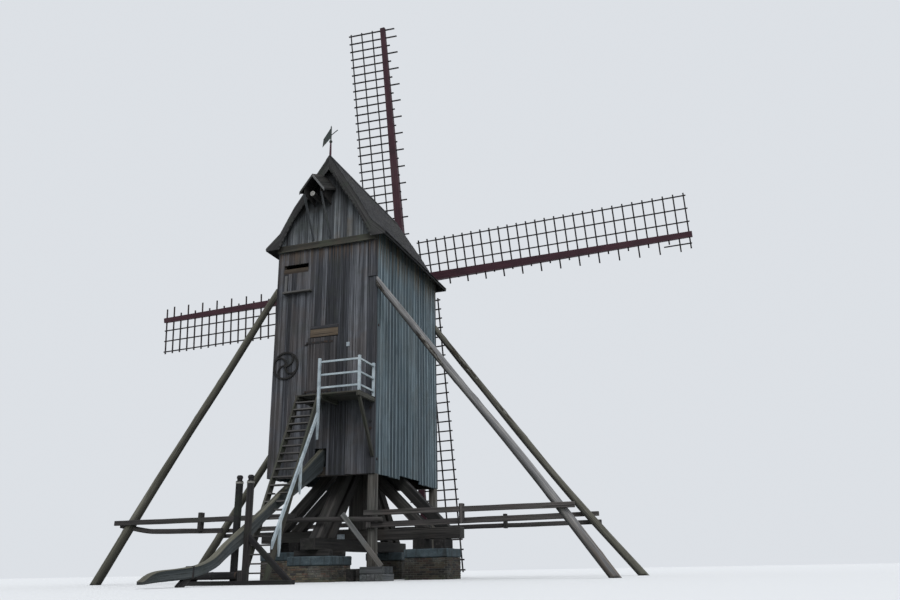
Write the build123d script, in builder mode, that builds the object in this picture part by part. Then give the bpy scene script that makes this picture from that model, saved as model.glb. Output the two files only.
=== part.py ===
from build123d import *
import os
from math import ceil, cos, hypot, radians, sin, tan

os.makedirs("parts", exist_ok=True)

# A Flemish post mill: a boarded body carried on one post, with a trestle on four brick piers,
# four lattice sails, a steep ladder, a tail beam and raking shores. All lengths are in millimetres.
# X runs to the right as seen from the ladder, Y runs from the ladder to the sails, Z is up.
# Heights are above the ground. Y is measured from the middle of the overall length, and
# most places below are measured from the foot of the post instead, by the function spot.
post_y = 2417.5

# Trestle: brick piers, crosstrees, post and quarter bars
trestle_x = 80
pier_length = 1500
pier_width = 1430
pier_reach_sideways = 2730
pier_reach_lengthways = 2930
cap_height = 280
cap_lip = 30
side_pier_top = 970
tail_pier_top = 760
crosstree_height = 360
crosstree_width = 500
crosstree_half_length = 3790
lower_crosstree_z = 940
packing_spread = 380
packing_width = 400
packing_length = 840
tail_packing_spread = 450
tail_packing_width = 260
tail_packing_length = 1240
post_half_width = 330
post_corner = 90
post_round_radius = 290
post_square_top = 4760
post_top = 8300
bar_breadth = 350
outer_bar_depth = 360
inner_bar_depth = 340
outer_bar_foot = 3400
inner_bar_foot = 2680
outer_bar_head = 4720
inner_bar_head = 3980

# Body: walls of upright boards on a timber frame
body_width = 3900
body_length = 6030
body_bottom = 3250
wall_top = 11320
wall_thickness = 60
corner_post_size = 240
sill_height = 280
sill_depth = 240
sheer_height = 340
sheer_width = 290
sheer_clearance = 12
girt_lift = 20
crown_tree_height = 600
crown_tree_width = 600
floor_thickness = 60
meal_floor_top = 5700
stone_floor_top = 9320
joist_height = 200
joist_width = 160
joist_places = (-2300, -1000, 1000, 2300)
post_hole = 860
missing_board_from = -880
missing_board_to = 1040
missing_board_height = 120

# Openings in the tail wall
door_left = -620
door_right = 500
door_sill = 5740
door_head = 7950
hatch_left = -1700
hatch_right = -720
hatch_bottom = 9760
hatch_top = 10780
hatch_leaf_top = 10630
leaf_thickness = 45
door_gap = 8
strap_thickness = 12
strap_height = 70
strap_length = 950
strap_heights = (6060, 7770)
pin_radius = 12
pin_clearance = 0.5
eye_radius = 22
leaf_proud = 6
pin_inset = 6
lintel_half_width = 530
lintel_gap = 20
lintel_height = 390
lintel_thickness = 20
hatch_sill_left_cut = 60
hatch_sill_overrun = 190
hatch_sill_reach = 150
hatch_sill_drop = 25
hatch_sill_height = 65
hatch_stick_left = 60
hatch_stick_width = 100
hatch_stick_height = 620
hatch_stick_proud = 25
hatch_set_back = 5
tail_beam_slot_top = 4130
tail_beam_slot_left = -200
tail_beam_slot_right = 220

# Roof and gables
ridge_x = 90
ridge_z = 14800
knee_x = 1270
knee_z = 12900
flare_x = 1800
flare_z = 11950
eave_x = 2340
eave_z = 11460
roof_drop = 110
tail_overhang = 250
breast_overhang = 185
gable_thickness = 60
gable_foot = 11280
gable_band_height = 240
gable_band_thickness = 40
barge_ridge_drop = 560
barge_knee_drop = 500
barge_flare_drop = 600
barge_thickness = 30
notch_spacing = 240
notch_radius = 34

# Hoist hood on the tail gable
hood_x = -190
hood_ridge_z = 13770
hood_half_width = 490
hood_eave_z = 13125
hood_reach = 900
hood_rise = 400
hood_shell = 45
cheek_half_width = 335
cheek_thickness = 30
cheek_bottom = 12900
hood_strut_size = 70
hood_strut_lift = 20
hood_front_inset = 60
cheek_drop = 60
cheek_lift = 20
hoist_beam_inset = 120
hoist_beam_radius = 95
hoist_beam_z = 13050
hoist_beam_shift = -30

# Windshaft, stocks and sails
hub_y = 4200
hub_z = 12380
shaft_rise_deg = 8.9
rest_angle_deg = 1.65
shaft_radius = 300
neck_radius = 275
neck_length = 420
shaft_back_length = 6100
bearing_clearance = 0.4
bearing_depth = 300
bearing_block_width = 760
bearing_block_drop = 60
neck_beam_inset = 215
neck_beam_height = 300
tail_bearing_inset = 1815
tail_bearing_drop = 470
tail_bearing_height = 250
shaft_hole_clearance = 60
poll_size = 700
poll_length = 760
poll_corner = 60
stock_spacing = 350
stock_reach = 12400
stock_hub_width = 360
stock_hub_thickness = 320
stock_tip_width = 220
stock_tip_thickness = 170
stock_square_length = 450
rung_count = 29
rung_first = 1030
rung_spacing = 402
rung_width = 55
rung_thickness = 45
rung_overrun = 110
lath_overrun = 60
hem_distance = 1570
lath_count = 3
lath_width = 50
weather_deg = 7
lead_long_inner = 390
lead_long_outer = 650
lead_short_inner = 195
lead_short_outer = 285
lead_tip = 560
lead_bar_place = 350
lead_bar_rungs = 2.7

# Shores: raking logs at the four corners of the body
shore_top_radius = 105
right_shore_butt_radius = 150
left_shore_butt_radius = 170
shore_top_z = 9700
right_shore_foot = 9270
breast_right_shore_foot = 9430
tail_left_shore_foot = 8450
breast_left_shore_foot = 8900
shore_inset = 15
shore_overrun = 400

# Rails along the shores and props under the right corners
rail_height = 160
rail_thickness = 110
rail_seat = 15
upper_rail_z = 2010
rail_left = -7740
rail_right = 8290
left_rail_end = -700
pole_rail_radius = 80
pole_rail = [(-1000, 1895), (2310, 1810)]
bent_rail = [(-7620, 1945), (-6530, 1733), (-5750, 1693), (-3500, 1650)]
lower_rail_inset = 160
lower_rail_left_z = 1650
lower_rail_right = (7990, 1715)
breast_upper_rail = [(-7900, 1990), (8030, 2130)]
breast_lower_rail = [(-7900, 1785), (8100, 1835)]
spacer_size = 120
left_spacer = (-4350, 1650, 2250)
right_spacer = (4810, 1606, 2180)
breast_spacers = [(-4350, 1690, 2240), (4500, 1720, 2240)]
prop_block_low = 1740
prop_block_high = 2085
prop_block_inset = 60
lower_rail_start = 100
prop_size = 260
pad_height = 420
pad_left_lip = 20
pad_right_lip = 580
pad_tail_lip = 470
pad_breast_lip = 200
bearer_height = 370
bearer_width = 230
bearer_places = (1100, 1430)
sleeper_size = 130
plank_thickness = 50
plank_top_x = 980
plank_top_z = 2010
plank_foot_x = 2330
plank_width = 160

# Platform, ladder and handrails
platform_left = -350
platform_right = 1930
platform_front = 4200
platform_top = 5700
decking_thickness = 45
platform_joist = 120
brace_foot_z = 3700
brace_depth = 110
brace_inset = 15
brace_head_inset = 60
rail_post_size = 80
rail_bar = 60
rail_rise = 1130
rail_levels = (0.13, 0.5, 0.88)
rail_bar_inset = 10
newel_tip_z = 4220
newel_taper = 520
hand_rail_top_y = -4230
hand_rail_top_z = 5150
hand_rail_foot_y = -6590
hand_rail_foot_z = 1120
hand_rail_depth = 110
hand_post_thickness = 55
hand_post_width = 90
hand_post_places = (-5170, -6200)
hand_post_length = 1050
hand_post_drop = 20
hand_post_taper = 250
ladder_left = -320
ladder_right = 480
ladder_foot_y = -6900
stringer_depth = 260
stringer_thickness = 60
tread_rise = 245
tread_depth = 230
tread_thickness = 40
tread_side_gap = 15
tread_end_gap = 120

# Tail beam with its winch frame
tail_beam_width = 200
chock_width = 100
chock_bite = 15
winch_post_size = 150
winch_post_height = 2850
winch_post_point = 55
winch_y = -7300
winch_sole_reach = 1650
winch_sole_height = 110
strut_head_z = 1250
strut_foot_x = 1500
strut_breadth = 110
strut_depth = 140
drum_radius = 100
drum_pin_radius = 45
drum_y = -7500
drum_z = 240
drum_left = -1500
drum_end_gap = 5
bearing_post_size = 150
bearing_post_height = 370

# Weathervane on the tail end of the ridge
vane_pole_radius = 24
vane_pole_height = 620
vane_pin_radius = 12
vane_pin_length = 600
vane_sleeve_radius = 24
vane_sleeve_length = 560
knob_radius = 60
vane_clearance = 1
vane_plate_reach = 620
vane_pointer_reach = 480
vane_pointer_radius = 16

# Wheel emblem and boards on the tail wall
wheel_x = -1430
wheel_z = 7060
wheel_radius = 490
wheel_rim = 62
wheel_thickness = 45
wheel_hub = 75
spoke_count = 4
spoke_width = 46
spoke_start_deg = 20
spoke_sweep_deg = 50
spoke_bow = 0.55
corner_board_left = 1640
corner_board_bottom = 9940
corner_board_thickness = 28
vane_plate_thickness = 6
vane_turn_deg = -33

half_width = body_width / 2
tail_face = -body_length / 2
breast_face = body_length / 2
inner_x = half_width - wall_thickness
inner_y = breast_face - wall_thickness
shore_y = breast_face - shore_inset
upper_crosstree_z = lower_crosstree_z + crosstree_height
upper_crosstree_top = upper_crosstree_z + crosstree_height


# A place measured from the foot of the post
def spot(x, y, z):
    return Vector(x, post_y + y, z)


# A squared block between two opposite corners
def block(low, high, mode=Mode.ADD):
    with BuildSketch(Plane(spot(*low), x_dir=(1, 0, 0), z_dir=(0, 0, 1))) as base:
        Rectangle(high[0] - low[0], high[1] - low[1], align=(Align.MIN, Align.MIN))
    extrude(base.sketch, amount=high[2] - low[2], mode=mode)


# A straight squared timber about the line from start to end, its top edge level across
def timber(start, end, across, deep, mode=Mode.ADD):
    along = spot(*end) - spot(*start)
    level = Vector(0, 0, 1).cross(along)
    with BuildSketch(Plane(spot(*start), x_dir=level, z_dir=along)) as section:
        Rectangle(across, deep)
    extrude(section.sketch, amount=along.length, mode=mode)


# A plate cut to an outline of x and z places, between two places along Y
def cross_plate(outline, y_from, y_to, mode=Mode.ADD):
    with BuildSketch(Plane(spot(0, y_to, 0), x_dir=(1, 0, 0), z_dir=(0, -1, 0))) as face:
        with BuildLine():
            Polyline(*outline, close=True)
        make_face()
    extrude(face.sketch, amount=y_to - y_from, mode=mode)


# A plate cut to an outline of y and z places, between two places along X
def long_plate(outline, x_from, x_to, mode=Mode.ADD):
    with BuildSketch(Plane(spot(x_from, 0, 0), x_dir=(0, 1, 0), z_dir=(1, 0, 0))) as face:
        with BuildLine():
            Polyline(*outline, close=True)
        make_face()
    extrude(face.sketch, amount=x_to - x_from, mode=mode)


# A round pole between two places
def pole(start, end, radius, end_radius=None, mode=Mode.ADD):
    along = spot(*end) - spot(*start)
    with BuildSketch(Plane(spot(*start), z_dir=along)) as foot:
        Circle(radius)
    if end_radius is None:
        extrude(foot.sketch, amount=along.length, mode=mode)
    else:
        with BuildSketch(Plane(spot(*end), z_dir=along)) as head:
            Circle(end_radius)
        loft([foot.sketch.face(), head.sketch.face()], mode=mode)


# A finished piece gets its name and its file
def keep(piece, name):
    piece.part.label = name
    export_step(piece.part, f"parts/{name}.step")


# Brick piers, each with its sloped cement cap
def pier(x, y, size_x, size_y, top):
    with BuildPart() as brick:
        block((x - size_x / 2, y - size_y / 2, 0), (x + size_x / 2, y + size_y / 2, top - cap_height))
        lip_x = size_x / 2 + cap_lip
        lip_y = size_y / 2 + cap_lip
        block((x - lip_x, y - lip_y, top - cap_height), (x + lip_x, y + lip_y, top))
        upper_rim = brick.edges().group_by(Axis.Z)[-1]
        chamfer(upper_rim, length=cap_lip)
    return brick


left_pier = pier(trestle_x - pier_reach_sideways, 0, pier_length, pier_width, side_pier_top)
keep(left_pier, "left_pier")
right_pier = pier(trestle_x + pier_reach_sideways, 0, pier_length, pier_width, side_pier_top)
keep(right_pier, "right_pier")
tail_pier = pier(trestle_x, -pier_reach_lengthways, pier_width, pier_length, tail_pier_top)
keep(tail_pier, "tail_pier")
breast_pier = pier(trestle_x, pier_reach_lengthways, pier_width, pier_length, lower_crosstree_z)
keep(breast_pier, "breast_pier")

# Packing timbers that bring the crosstrees level on their piers
with BuildPart() as packing_timbers:
    for side in (-1, 1):
        middle = trestle_x + side * pier_reach_sideways
        for shift in (-packing_spread, packing_spread):
            left = middle + shift - packing_width / 2
            block((left, -packing_length / 2, side_pier_top),
                  (left + packing_width, packing_length / 2, upper_crosstree_z))
    for shift in (-tail_packing_spread, tail_packing_spread):
        front = shift - pier_reach_lengthways - tail_packing_width / 2
        block((trestle_x - tail_packing_length / 2, front, tail_pier_top),
              (trestle_x + tail_packing_length / 2, front + tail_packing_width, lower_crosstree_z))
keep(packing_timbers, "packing_timbers")

# The two crosstrees, one over the other
with BuildPart() as lower_crosstree:
    block((trestle_x - crosstree_width / 2, -crosstree_half_length, lower_crosstree_z),
          (trestle_x + crosstree_width / 2, crosstree_half_length, upper_crosstree_z))
keep(lower_crosstree, "lower_crosstree")
with BuildPart() as upper_crosstree:
    block((trestle_x - crosstree_half_length, -crosstree_width / 2, upper_crosstree_z),
          (trestle_x + crosstree_half_length, crosstree_width / 2, upper_crosstree_top))
keep(upper_crosstree, "upper_crosstree")

# The post: squared below with its corners taken off, round inside the body
with BuildPart() as main_post:
    with BuildSketch(Plane(spot(trestle_x, 0, upper_crosstree_top))):
        square = Rectangle(2 * post_half_width, 2 * post_half_width)
        chamfer(square.vertices(), length=post_corner)
    extrude(amount=post_square_top - upper_crosstree_top)
    with BuildSketch(Plane(spot(trestle_x, 0, post_square_top))):
        Circle(post_round_radius)
    extrude(amount=post_top - post_square_top)
keep(main_post, "main_post")


# A quarter bar as the side view shows it, by its outer foot, its head on the post and its depth
def bar_outline(foot, head, depth, seat_z):
    slope = (head - seat_z) / (foot - post_half_width)
    upright_depth = depth * hypot(1, slope)
    return [(foot, seat_z), (post_half_width, head), (post_half_width, head - upright_depth),
            (foot - upright_depth / slope, seat_z)]


# The two bars of one arm of the trestle, turned to the side where that arm points
def quarter_bars(turn, seat_z):
    with BuildPart() as bars:
        for foot, head, depth in ((outer_bar_foot, outer_bar_head, outer_bar_depth),
                                  (inner_bar_foot, inner_bar_head, inner_bar_depth)):
            arm = Vector(cos(radians(turn)), sin(radians(turn)), 0)
            across = Vector(sin(radians(turn)), -cos(radians(turn)), 0)
            start = spot(trestle_x, 0, 0) - across * (bar_breadth / 2)
            with BuildSketch(Plane(start, x_dir=arm, z_dir=across)):
                with BuildLine():
                    Polyline(*bar_outline(foot, head, depth, seat_z), close=True)
                make_face()
            extrude(amount=bar_breadth)
    return bars


right_quarter_bars = quarter_bars(0, upper_crosstree_top)
keep(right_quarter_bars, "right_quarter_bars")
breast_quarter_bars = quarter_bars(90, upper_crosstree_z)
keep(breast_quarter_bars, "breast_quarter_bars")
left_quarter_bars = quarter_bars(180, upper_crosstree_top)
keep(left_quarter_bars, "left_quarter_bars")
tail_quarter_bars = quarter_bars(270, upper_crosstree_z)
keep(tail_quarter_bars, "tail_quarter_bars")

# The crown tree lies across the post and carries the body
with BuildPart() as crown_tree:
    block((-inner_x, -crown_tree_width / 2, post_top),
          (inner_x, crown_tree_width / 2, post_top + crown_tree_height))
keep(crown_tree, "crown_tree")

# Corner posts of the body
with BuildPart() as corner_posts:
    for x in (-inner_x, inner_x - corner_post_size):
        for y in (-inner_y, inner_y - corner_post_size):
            block((x, y, body_bottom), (x + corner_post_size, y + corner_post_size, wall_top))
keep(corner_posts, "corner_posts")

# Sills and girts of the two end walls
girt_top = post_square_top + girt_lift
with BuildPart() as body_beams:
    clear_x = inner_x - corner_post_size
    for y in (-inner_y, inner_y - sill_depth):
        block((-clear_x, y, body_bottom), (clear_x, y + sill_depth, body_bottom + sill_height))
        block((-clear_x, y, girt_top - sill_height), (clear_x, y + sill_depth, girt_top))
keep(body_beams, "body_beams")

# The two sheers beside the post, lying on the girts
with BuildPart() as sheers:
    for side in (-1, 1):
        middle = trestle_x + side * (post_half_width + sheer_clearance + sheer_width / 2)
        block((middle - sheer_width / 2, -inner_y, girt_top),
              (middle + sheer_width / 2, inner_y, girt_top + sheer_height))
keep(sheers, "sheers")

# A boarded floor on its joists, fitted round the corner posts
def boarded_floor(top, round_post):
    with BuildPart() as boards:
        block((-inner_x, -inner_y, top - floor_thickness), (inner_x, inner_y, top))
        for x in (-inner_x, inner_x - corner_post_size):
            for y in (-inner_y, inner_y - corner_post_size):
                block((x, y, top - floor_thickness), (x + corner_post_size, y + corner_post_size, top),
                      mode=Mode.SUBTRACT)
        for y in joist_places:
            block((-inner_x, y - joist_width / 2, top - floor_thickness - joist_height),
                  (inner_x, y + joist_width / 2, top - floor_thickness))
        if round_post:
            half_hole = post_hole / 2
            block((trestle_x - half_hole, -half_hole, top - floor_thickness),
                  (trestle_x + half_hole, half_hole, top), mode=Mode.SUBTRACT)
    return boards


meal_floor = boarded_floor(meal_floor_top, True)
keep(meal_floor, "meal_floor")
stone_floor = boarded_floor(stone_floor_top, False)
keep(stone_floor, "stone_floor")

# Tail wall, split beside, under and over the doorway
with BuildPart() as tail_wall_left:
    block((-half_width, tail_face, body_bottom), (door_left, tail_face + wall_thickness, wall_top))
    block((hatch_left, tail_face, hatch_bottom), (hatch_right, tail_face + wall_thickness, hatch_top),
          mode=Mode.SUBTRACT)
keep(tail_wall_left, "tail_wall_left")
with BuildPart() as tail_wall_right:
    block((door_right, tail_face, body_bottom), (half_width, tail_face + wall_thickness, wall_top))
keep(tail_wall_right, "tail_wall_right")
with BuildPart() as tail_wall_middle:
    block((door_left, tail_face, door_head), (door_right, tail_face + wall_thickness, wall_top))
    block((door_left, tail_face, body_bottom), (door_right, tail_face + wall_thickness, door_sill))
    block((tail_beam_slot_left, tail_face, body_bottom),
          (tail_beam_slot_right, tail_face + wall_thickness, tail_beam_slot_top), mode=Mode.SUBTRACT)
keep(tail_wall_middle, "tail_wall_middle")

# Breast wall behind the sails
with BuildPart() as breast_wall:
    block((-half_width, inner_y, body_bottom), (half_width, breast_face, wall_top))
keep(breast_wall, "breast_wall")


# The height of the roof's outer face at a distance from the middle, beyond the flare
def lower_slope(x):
    return flare_z - (x - flare_x) * (flare_z - eave_z) / (eave_x - flare_x)


# Side walls, their tops bevelled to the roof
def side_wall(side):
    outline = [(side * inner_x, body_bottom), (side * half_width, body_bottom),
               (side * half_width, lower_slope(half_width) - roof_drop),
               (side * inner_x, lower_slope(inner_x) - roof_drop)]
    with BuildPart() as wall:
        cross_plate(outline, -inner_y, inner_y)
    return wall


left_wall = side_wall(-1)
keep(left_wall, "left_wall")
right_wall = side_wall(1)
with right_wall:
    block((inner_x, missing_board_from, body_bottom),
          (half_width, missing_board_to, body_bottom + missing_board_height), mode=Mode.SUBTRACT)
keep(right_wall, "right_wall")


# One half of the roof's outer line, from the ridge to the eave, dropped by a distance
def roof_line(side, drop):
    return [(ridge_x, ridge_z - drop), (side * knee_x, knee_z - drop), (side * flare_x, flare_z - drop),
            (side * eave_x, eave_z - drop)]


# A gable under the roof, from its foot on the end wall
def gable(y_from):
    under = lower_slope(half_width) - roof_drop
    left_line = roof_line(-1, roof_drop)[:-1]
    right_line = roof_line(1, roof_drop)[1:-1]
    outline = [(half_width, gable_foot), (-half_width, gable_foot), (-half_width, under)]
    outline += left_line[::-1] + right_line + [(half_width, under)]
    with BuildPart() as boards:
        cross_plate(outline, y_from, y_from + gable_thickness)
    return boards


shaft_way = Vector(0, cos(radians(shaft_rise_deg)), sin(radians(shaft_rise_deg)))
sail_up = Vector(0, -sin(radians(shaft_rise_deg)), cos(radians(shaft_rise_deg)))
hub = spot(0, hub_y, hub_z)

tail_gable = gable(tail_face - gable_thickness)
keep(tail_gable, "tail_gable")
breast_gable = gable(breast_face)
with breast_gable:
    with BuildSketch(Plane(hub, x_dir=(1, 0, 0), z_dir=shaft_way * -1)) as shaft_hole:
        Circle(shaft_radius + shaft_hole_clearance)
    extrude(shaft_hole.sketch, amount=shaft_back_length, mode=Mode.SUBTRACT)
keep(breast_gable, "breast_gable")


# A roof slope with its bell-cast eave
def roof_slope(side):
    outline = roof_line(side, 0) + roof_line(side, roof_drop)[::-1]
    with BuildPart() as slope:
        cross_plate(outline, tail_face - tail_overhang, breast_face + breast_overhang)
    return slope


left_roof = roof_slope(-1)
keep(left_roof, "left_roof")
right_roof = roof_slope(1)
keep(right_roof, "right_roof")

# Band across the foot of the tail gable, lintel board and hatch sill
gable_face = tail_face - gable_thickness
with BuildPart() as tail_trim:
    block((-half_width, gable_face - gable_band_thickness, gable_foot),
          (half_width, gable_face, gable_foot + gable_band_height))
    lintel_z = door_head + lintel_gap
    block((-lintel_half_width, tail_face - lintel_thickness, lintel_z),
          (lintel_half_width, tail_face, lintel_z + lintel_height))
    hatch_sill_top = hatch_bottom - hatch_sill_drop
    block((hatch_left + hatch_sill_left_cut, tail_face - hatch_sill_reach, hatch_sill_top - hatch_sill_height),
          (hatch_right + hatch_sill_overrun, tail_face, hatch_sill_top))
    block((corner_board_left, tail_face - corner_board_thickness, corner_board_bottom),
          (half_width, tail_face, gable_foot))
    stick_left = hatch_left + hatch_stick_left
    block((stick_left, tail_face - hatch_stick_proud, hatch_bottom),
          (stick_left + hatch_stick_width, tail_face + hatch_set_back, hatch_bottom + hatch_stick_height))
    with BuildSketch(Plane(spot(wheel_x, tail_face, wheel_z), x_dir=(1, 0, 0), z_dir=(0, -1, 0))) as emblem:
        Circle(wheel_radius)
        Circle(wheel_radius - wheel_rim, mode=Mode.SUBTRACT)
        Circle(wheel_hub)
        for number in range(spoke_count):
            start = radians(number * 360 / spoke_count + spoke_start_deg)
            tip = start + radians(spoke_sweep_deg)
            reach = wheel_radius - wheel_rim / 2
            bulge = reach * spoke_bow
            with BuildLine():
                bow = ThreePointArc((0, 0), (bulge * cos(start), bulge * sin(start)),
                                    (reach * cos(tip), reach * sin(tip)))
            trace(bow, line_width=spoke_width)
    extrude(emblem.sketch, amount=wheel_thickness)
keep(tail_trim, "tail_trim")

# Upper hatch, closed by a leaf that leaves a gap at its head
with BuildPart() as loft_hatch:
    leaf_front = tail_face + hatch_set_back
    block((hatch_left, leaf_front, hatch_bottom), (hatch_right, leaf_front + leaf_thickness, hatch_leaf_top))
keep(loft_hatch, "loft_hatch")

# Hoist hood: a small gabled roof with two cheeks and two struts, over the round end of the hoist beam
hood_front = gable_face - hood_reach
with BuildPart() as hoist_hood:
    slope = (hood_ridge_z - hood_eave_z) / hood_half_width
    upright_shell = hood_shell * hypot(1, slope)
    with BuildSketch(Plane(spot(hood_x, hood_front, 0), x_dir=(1, 0, 0), z_dir=(0, -1, 0))) as vee:
        with BuildLine():
            Polyline((-hood_half_width, hood_eave_z), (0, hood_ridge_z), (hood_half_width, hood_eave_z),
                     (hood_half_width, hood_eave_z - upright_shell), (0, hood_ridge_z - upright_shell),
                     (-hood_half_width, hood_eave_z - upright_shell), close=True)
        make_face()
    extrude(vee.sketch, amount=hypot(hood_reach, hood_rise), dir=(0, hood_reach, hood_rise))
    for side in (-1, 1):
        outer = cheek_half_width * side
        inner = (cheek_half_width - cheek_thickness) * side
        top = hood_ridge_z - slope * cheek_half_width - upright_shell / 2
        low_x, high_x = sorted((hood_x + outer, hood_x + inner))
        cheek_front = hood_front + hood_front_inset
        long_plate([(cheek_front, hood_eave_z - cheek_drop), (cheek_front, top + cheek_lift),
                    (gable_face, top + hood_rise), (gable_face, cheek_bottom)], low_x, high_x)
        strut_foot = gable_foot + gable_band_height + hood_strut_lift
        strut_head = hood_eave_z - hood_strut_lift
        strut_drop = hood_strut_size * hypot(1, (hood_eave_z - strut_foot) / hood_reach)
        long_plate([(gable_face, strut_foot), (gable_face, strut_foot + strut_drop), (cheek_front, strut_head),
                    (cheek_front, strut_head - strut_drop)],
                   hood_x + outer - hood_strut_size / 2, hood_x + outer + hood_strut_size / 2)
    beam_x = hood_x + hoist_beam_shift
    beam_end_y = hood_front + hoist_beam_inset
    pole((beam_x, gable_face, hoist_beam_z), (beam_x, beam_end_y, hoist_beam_z), hoist_beam_radius)
keep(hoist_hood, "hoist_hood")


# The lower edge of a bargeboard, from the ridge to the eave
def barge_edge(side):
    drops = (barge_ridge_drop, barge_knee_drop, barge_flare_drop, roof_drop)
    return [(x, z - drop) for (x, z), drop in zip(roof_line(side, 0), drops)]


# Bargeboards on the verges, those of the tail side notched along their lower edge
with BuildPart() as bargeboards:
    for y in (tail_face - tail_overhang - barge_thickness, breast_face + breast_overhang):
        for side in (-1, 1):
            cross_plate(roof_line(side, 0) + barge_edge(side)[::-1], y, y + barge_thickness)
    tail_verge = tail_face - tail_overhang
    for side in (-1, 1):
        edge = barge_edge(side)
        for (x_a, z_a), (x_b, z_b) in zip(edge[:2], edge[1:3]):
            run = hypot(x_b - x_a, z_b - z_a)
            for number in range(1, int(run / notch_spacing)):
                share = number * notch_spacing / run
                x = x_a + (x_b - x_a) * share
                z = z_a + (z_b - z_a) * share
                pole((x, tail_verge - barge_thickness - 1, z), (x, tail_verge + 1, z), notch_radius,
                     mode=Mode.SUBTRACT)
    add(hoist_hood.part, mode=Mode.SUBTRACT)
keep(bargeboards, "bargeboards")


# The height of the windshaft's axis at a place along Y
def axis_height(y):
    return hub_z - (hub_y - y) * tan(radians(shaft_rise_deg))


# Beams that carry the windshaft at its neck and at its tail
neck_beam_y = breast_face - neck_beam_inset
tail_bearing_y = tail_face + tail_bearing_inset
neck_beam_low = wall_top
tail_bearing_low = wall_top - tail_bearing_drop
with BuildPart() as shaft_bearings:
    for y, low, height in ((neck_beam_y, neck_beam_low, neck_beam_height),
                           (tail_bearing_y, tail_bearing_low, tail_bearing_height)):
        front = y - bearing_depth / 2
        back = y + bearing_depth / 2
        block((-inner_x, front, low), (inner_x, back, low + height))
        block((-bearing_block_width / 2, front, low + height),
              (bearing_block_width / 2, back, axis_height(y) - bearing_block_drop))
    with BuildSketch(Plane(hub, x_dir=(1, 0, 0), z_dir=shaft_way * -1)) as seat:
        Circle(neck_radius + bearing_clearance)
    extrude(seat.sketch, amount=shaft_back_length, mode=Mode.SUBTRACT)
keep(shaft_bearings, "shaft_bearings")


# A plane square to the windshaft, at a distance along it, turned with one sail arm
def sail_plane(arm_deg, forward):
    turn = radians(rest_angle_deg + arm_deg)
    arm = Vector(1, 0, 0) * cos(turn) + sail_up * sin(turn)
    return Plane(hub + shaft_way * forward, x_dir=arm, z_dir=shaft_way * -1)


# Windshaft with round necks in its bearings and a squared poll end for the stocks
with BuildPart() as windshaft:
    neck_from = (hub_y - neck_beam_y) / cos(radians(shaft_rise_deg)) - neck_length / 2
    tail_from = (hub_y - tail_bearing_y) / cos(radians(shaft_rise_deg)) - neck_length / 2
    with BuildSketch(sail_plane(0, poll_length / 2)):
        poll = Rectangle(poll_size, poll_size)
        chamfer(poll.vertices(), length=poll_corner)
    extrude(amount=poll_length)
    for start, end, radius in ((poll_length / 2, neck_from, shaft_radius),
                               (neck_from, neck_from + neck_length, neck_radius),
                               (neck_from + neck_length, tail_from, shaft_radius),
                               (tail_from, tail_from + neck_length, neck_radius)):
        with BuildSketch(sail_plane(0, -start)):
            Circle(radius)
        extrude(amount=end - start)
    for arm_deg, forward in ((0, -stock_spacing / 2), (90, stock_spacing / 2)):
        with BuildSketch(sail_plane(arm_deg, forward + stock_hub_thickness / 2)):
            Rectangle(poll_size * 2, stock_hub_width)
        extrude(amount=stock_hub_thickness, mode=Mode.SUBTRACT)
keep(windshaft, "windshaft")


# How far each rung reaches past the stock on the leading side: long and short in turn
def lead_reach(index):
    from_tip = rung_count - 1 - index
    outward = index / (rung_count - 1)
    if from_tip == 0:
        return lead_tip
    if from_tip % 2 == 1:
        return lead_long_inner + (lead_long_outer - lead_long_inner) * outward
    return lead_short_inner + (lead_short_outer - lead_short_inner) * outward


# The rungs of one sail, drawn on its weathered plane
def rung_strips():
    for index in range(rung_count):
        reach = hem_distance + rung_overrun
        lead = lead_reach(index)
        with Locations((rung_first + index * rung_spacing, (reach - lead) / 2)):
            Rectangle(rung_width, reach + lead)


# The plane of one sail's lattice, its trailing edge turned back towards the body
def weathered(arm_deg, forward):
    frame = sail_plane(arm_deg, forward)
    turned = frame.z_dir * cos(radians(weather_deg)) - frame.y_dir * sin(radians(weather_deg))
    return Plane(frame.origin - turned * (rung_thickness / 2), x_dir=frame.x_dir, z_dir=turned)


# A stock: one tapered timber through the poll end, mortised for the rungs of its two sails
def stock(arm_deg, forward):
    with BuildPart() as beam:
        frame = sail_plane(arm_deg, forward)
        for place, width, thickness in ((-stock_reach, stock_tip_width, stock_tip_thickness),
                                        (-stock_square_length, stock_hub_width, stock_hub_thickness),
                                        (stock_square_length, stock_hub_width, stock_hub_thickness),
                                        (stock_reach, stock_tip_width, stock_tip_thickness)):
            with BuildSketch(Plane(frame.origin + frame.x_dir * place, x_dir=frame.y_dir, z_dir=frame.x_dir)):
                Rectangle(width, thickness)
        loft(ruled=True)
        for end_deg in (arm_deg, arm_deg + 180):
            with BuildSketch(weathered(end_deg, forward)):
                rung_strips()
            extrude(amount=rung_thickness, mode=Mode.SUBTRACT)
    return beam


level_stock = stock(0, -stock_spacing / 2)
keep(level_stock, "level_stock")
upright_stock = stock(90, stock_spacing / 2)
keep(upright_stock, "upright_stock")


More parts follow.
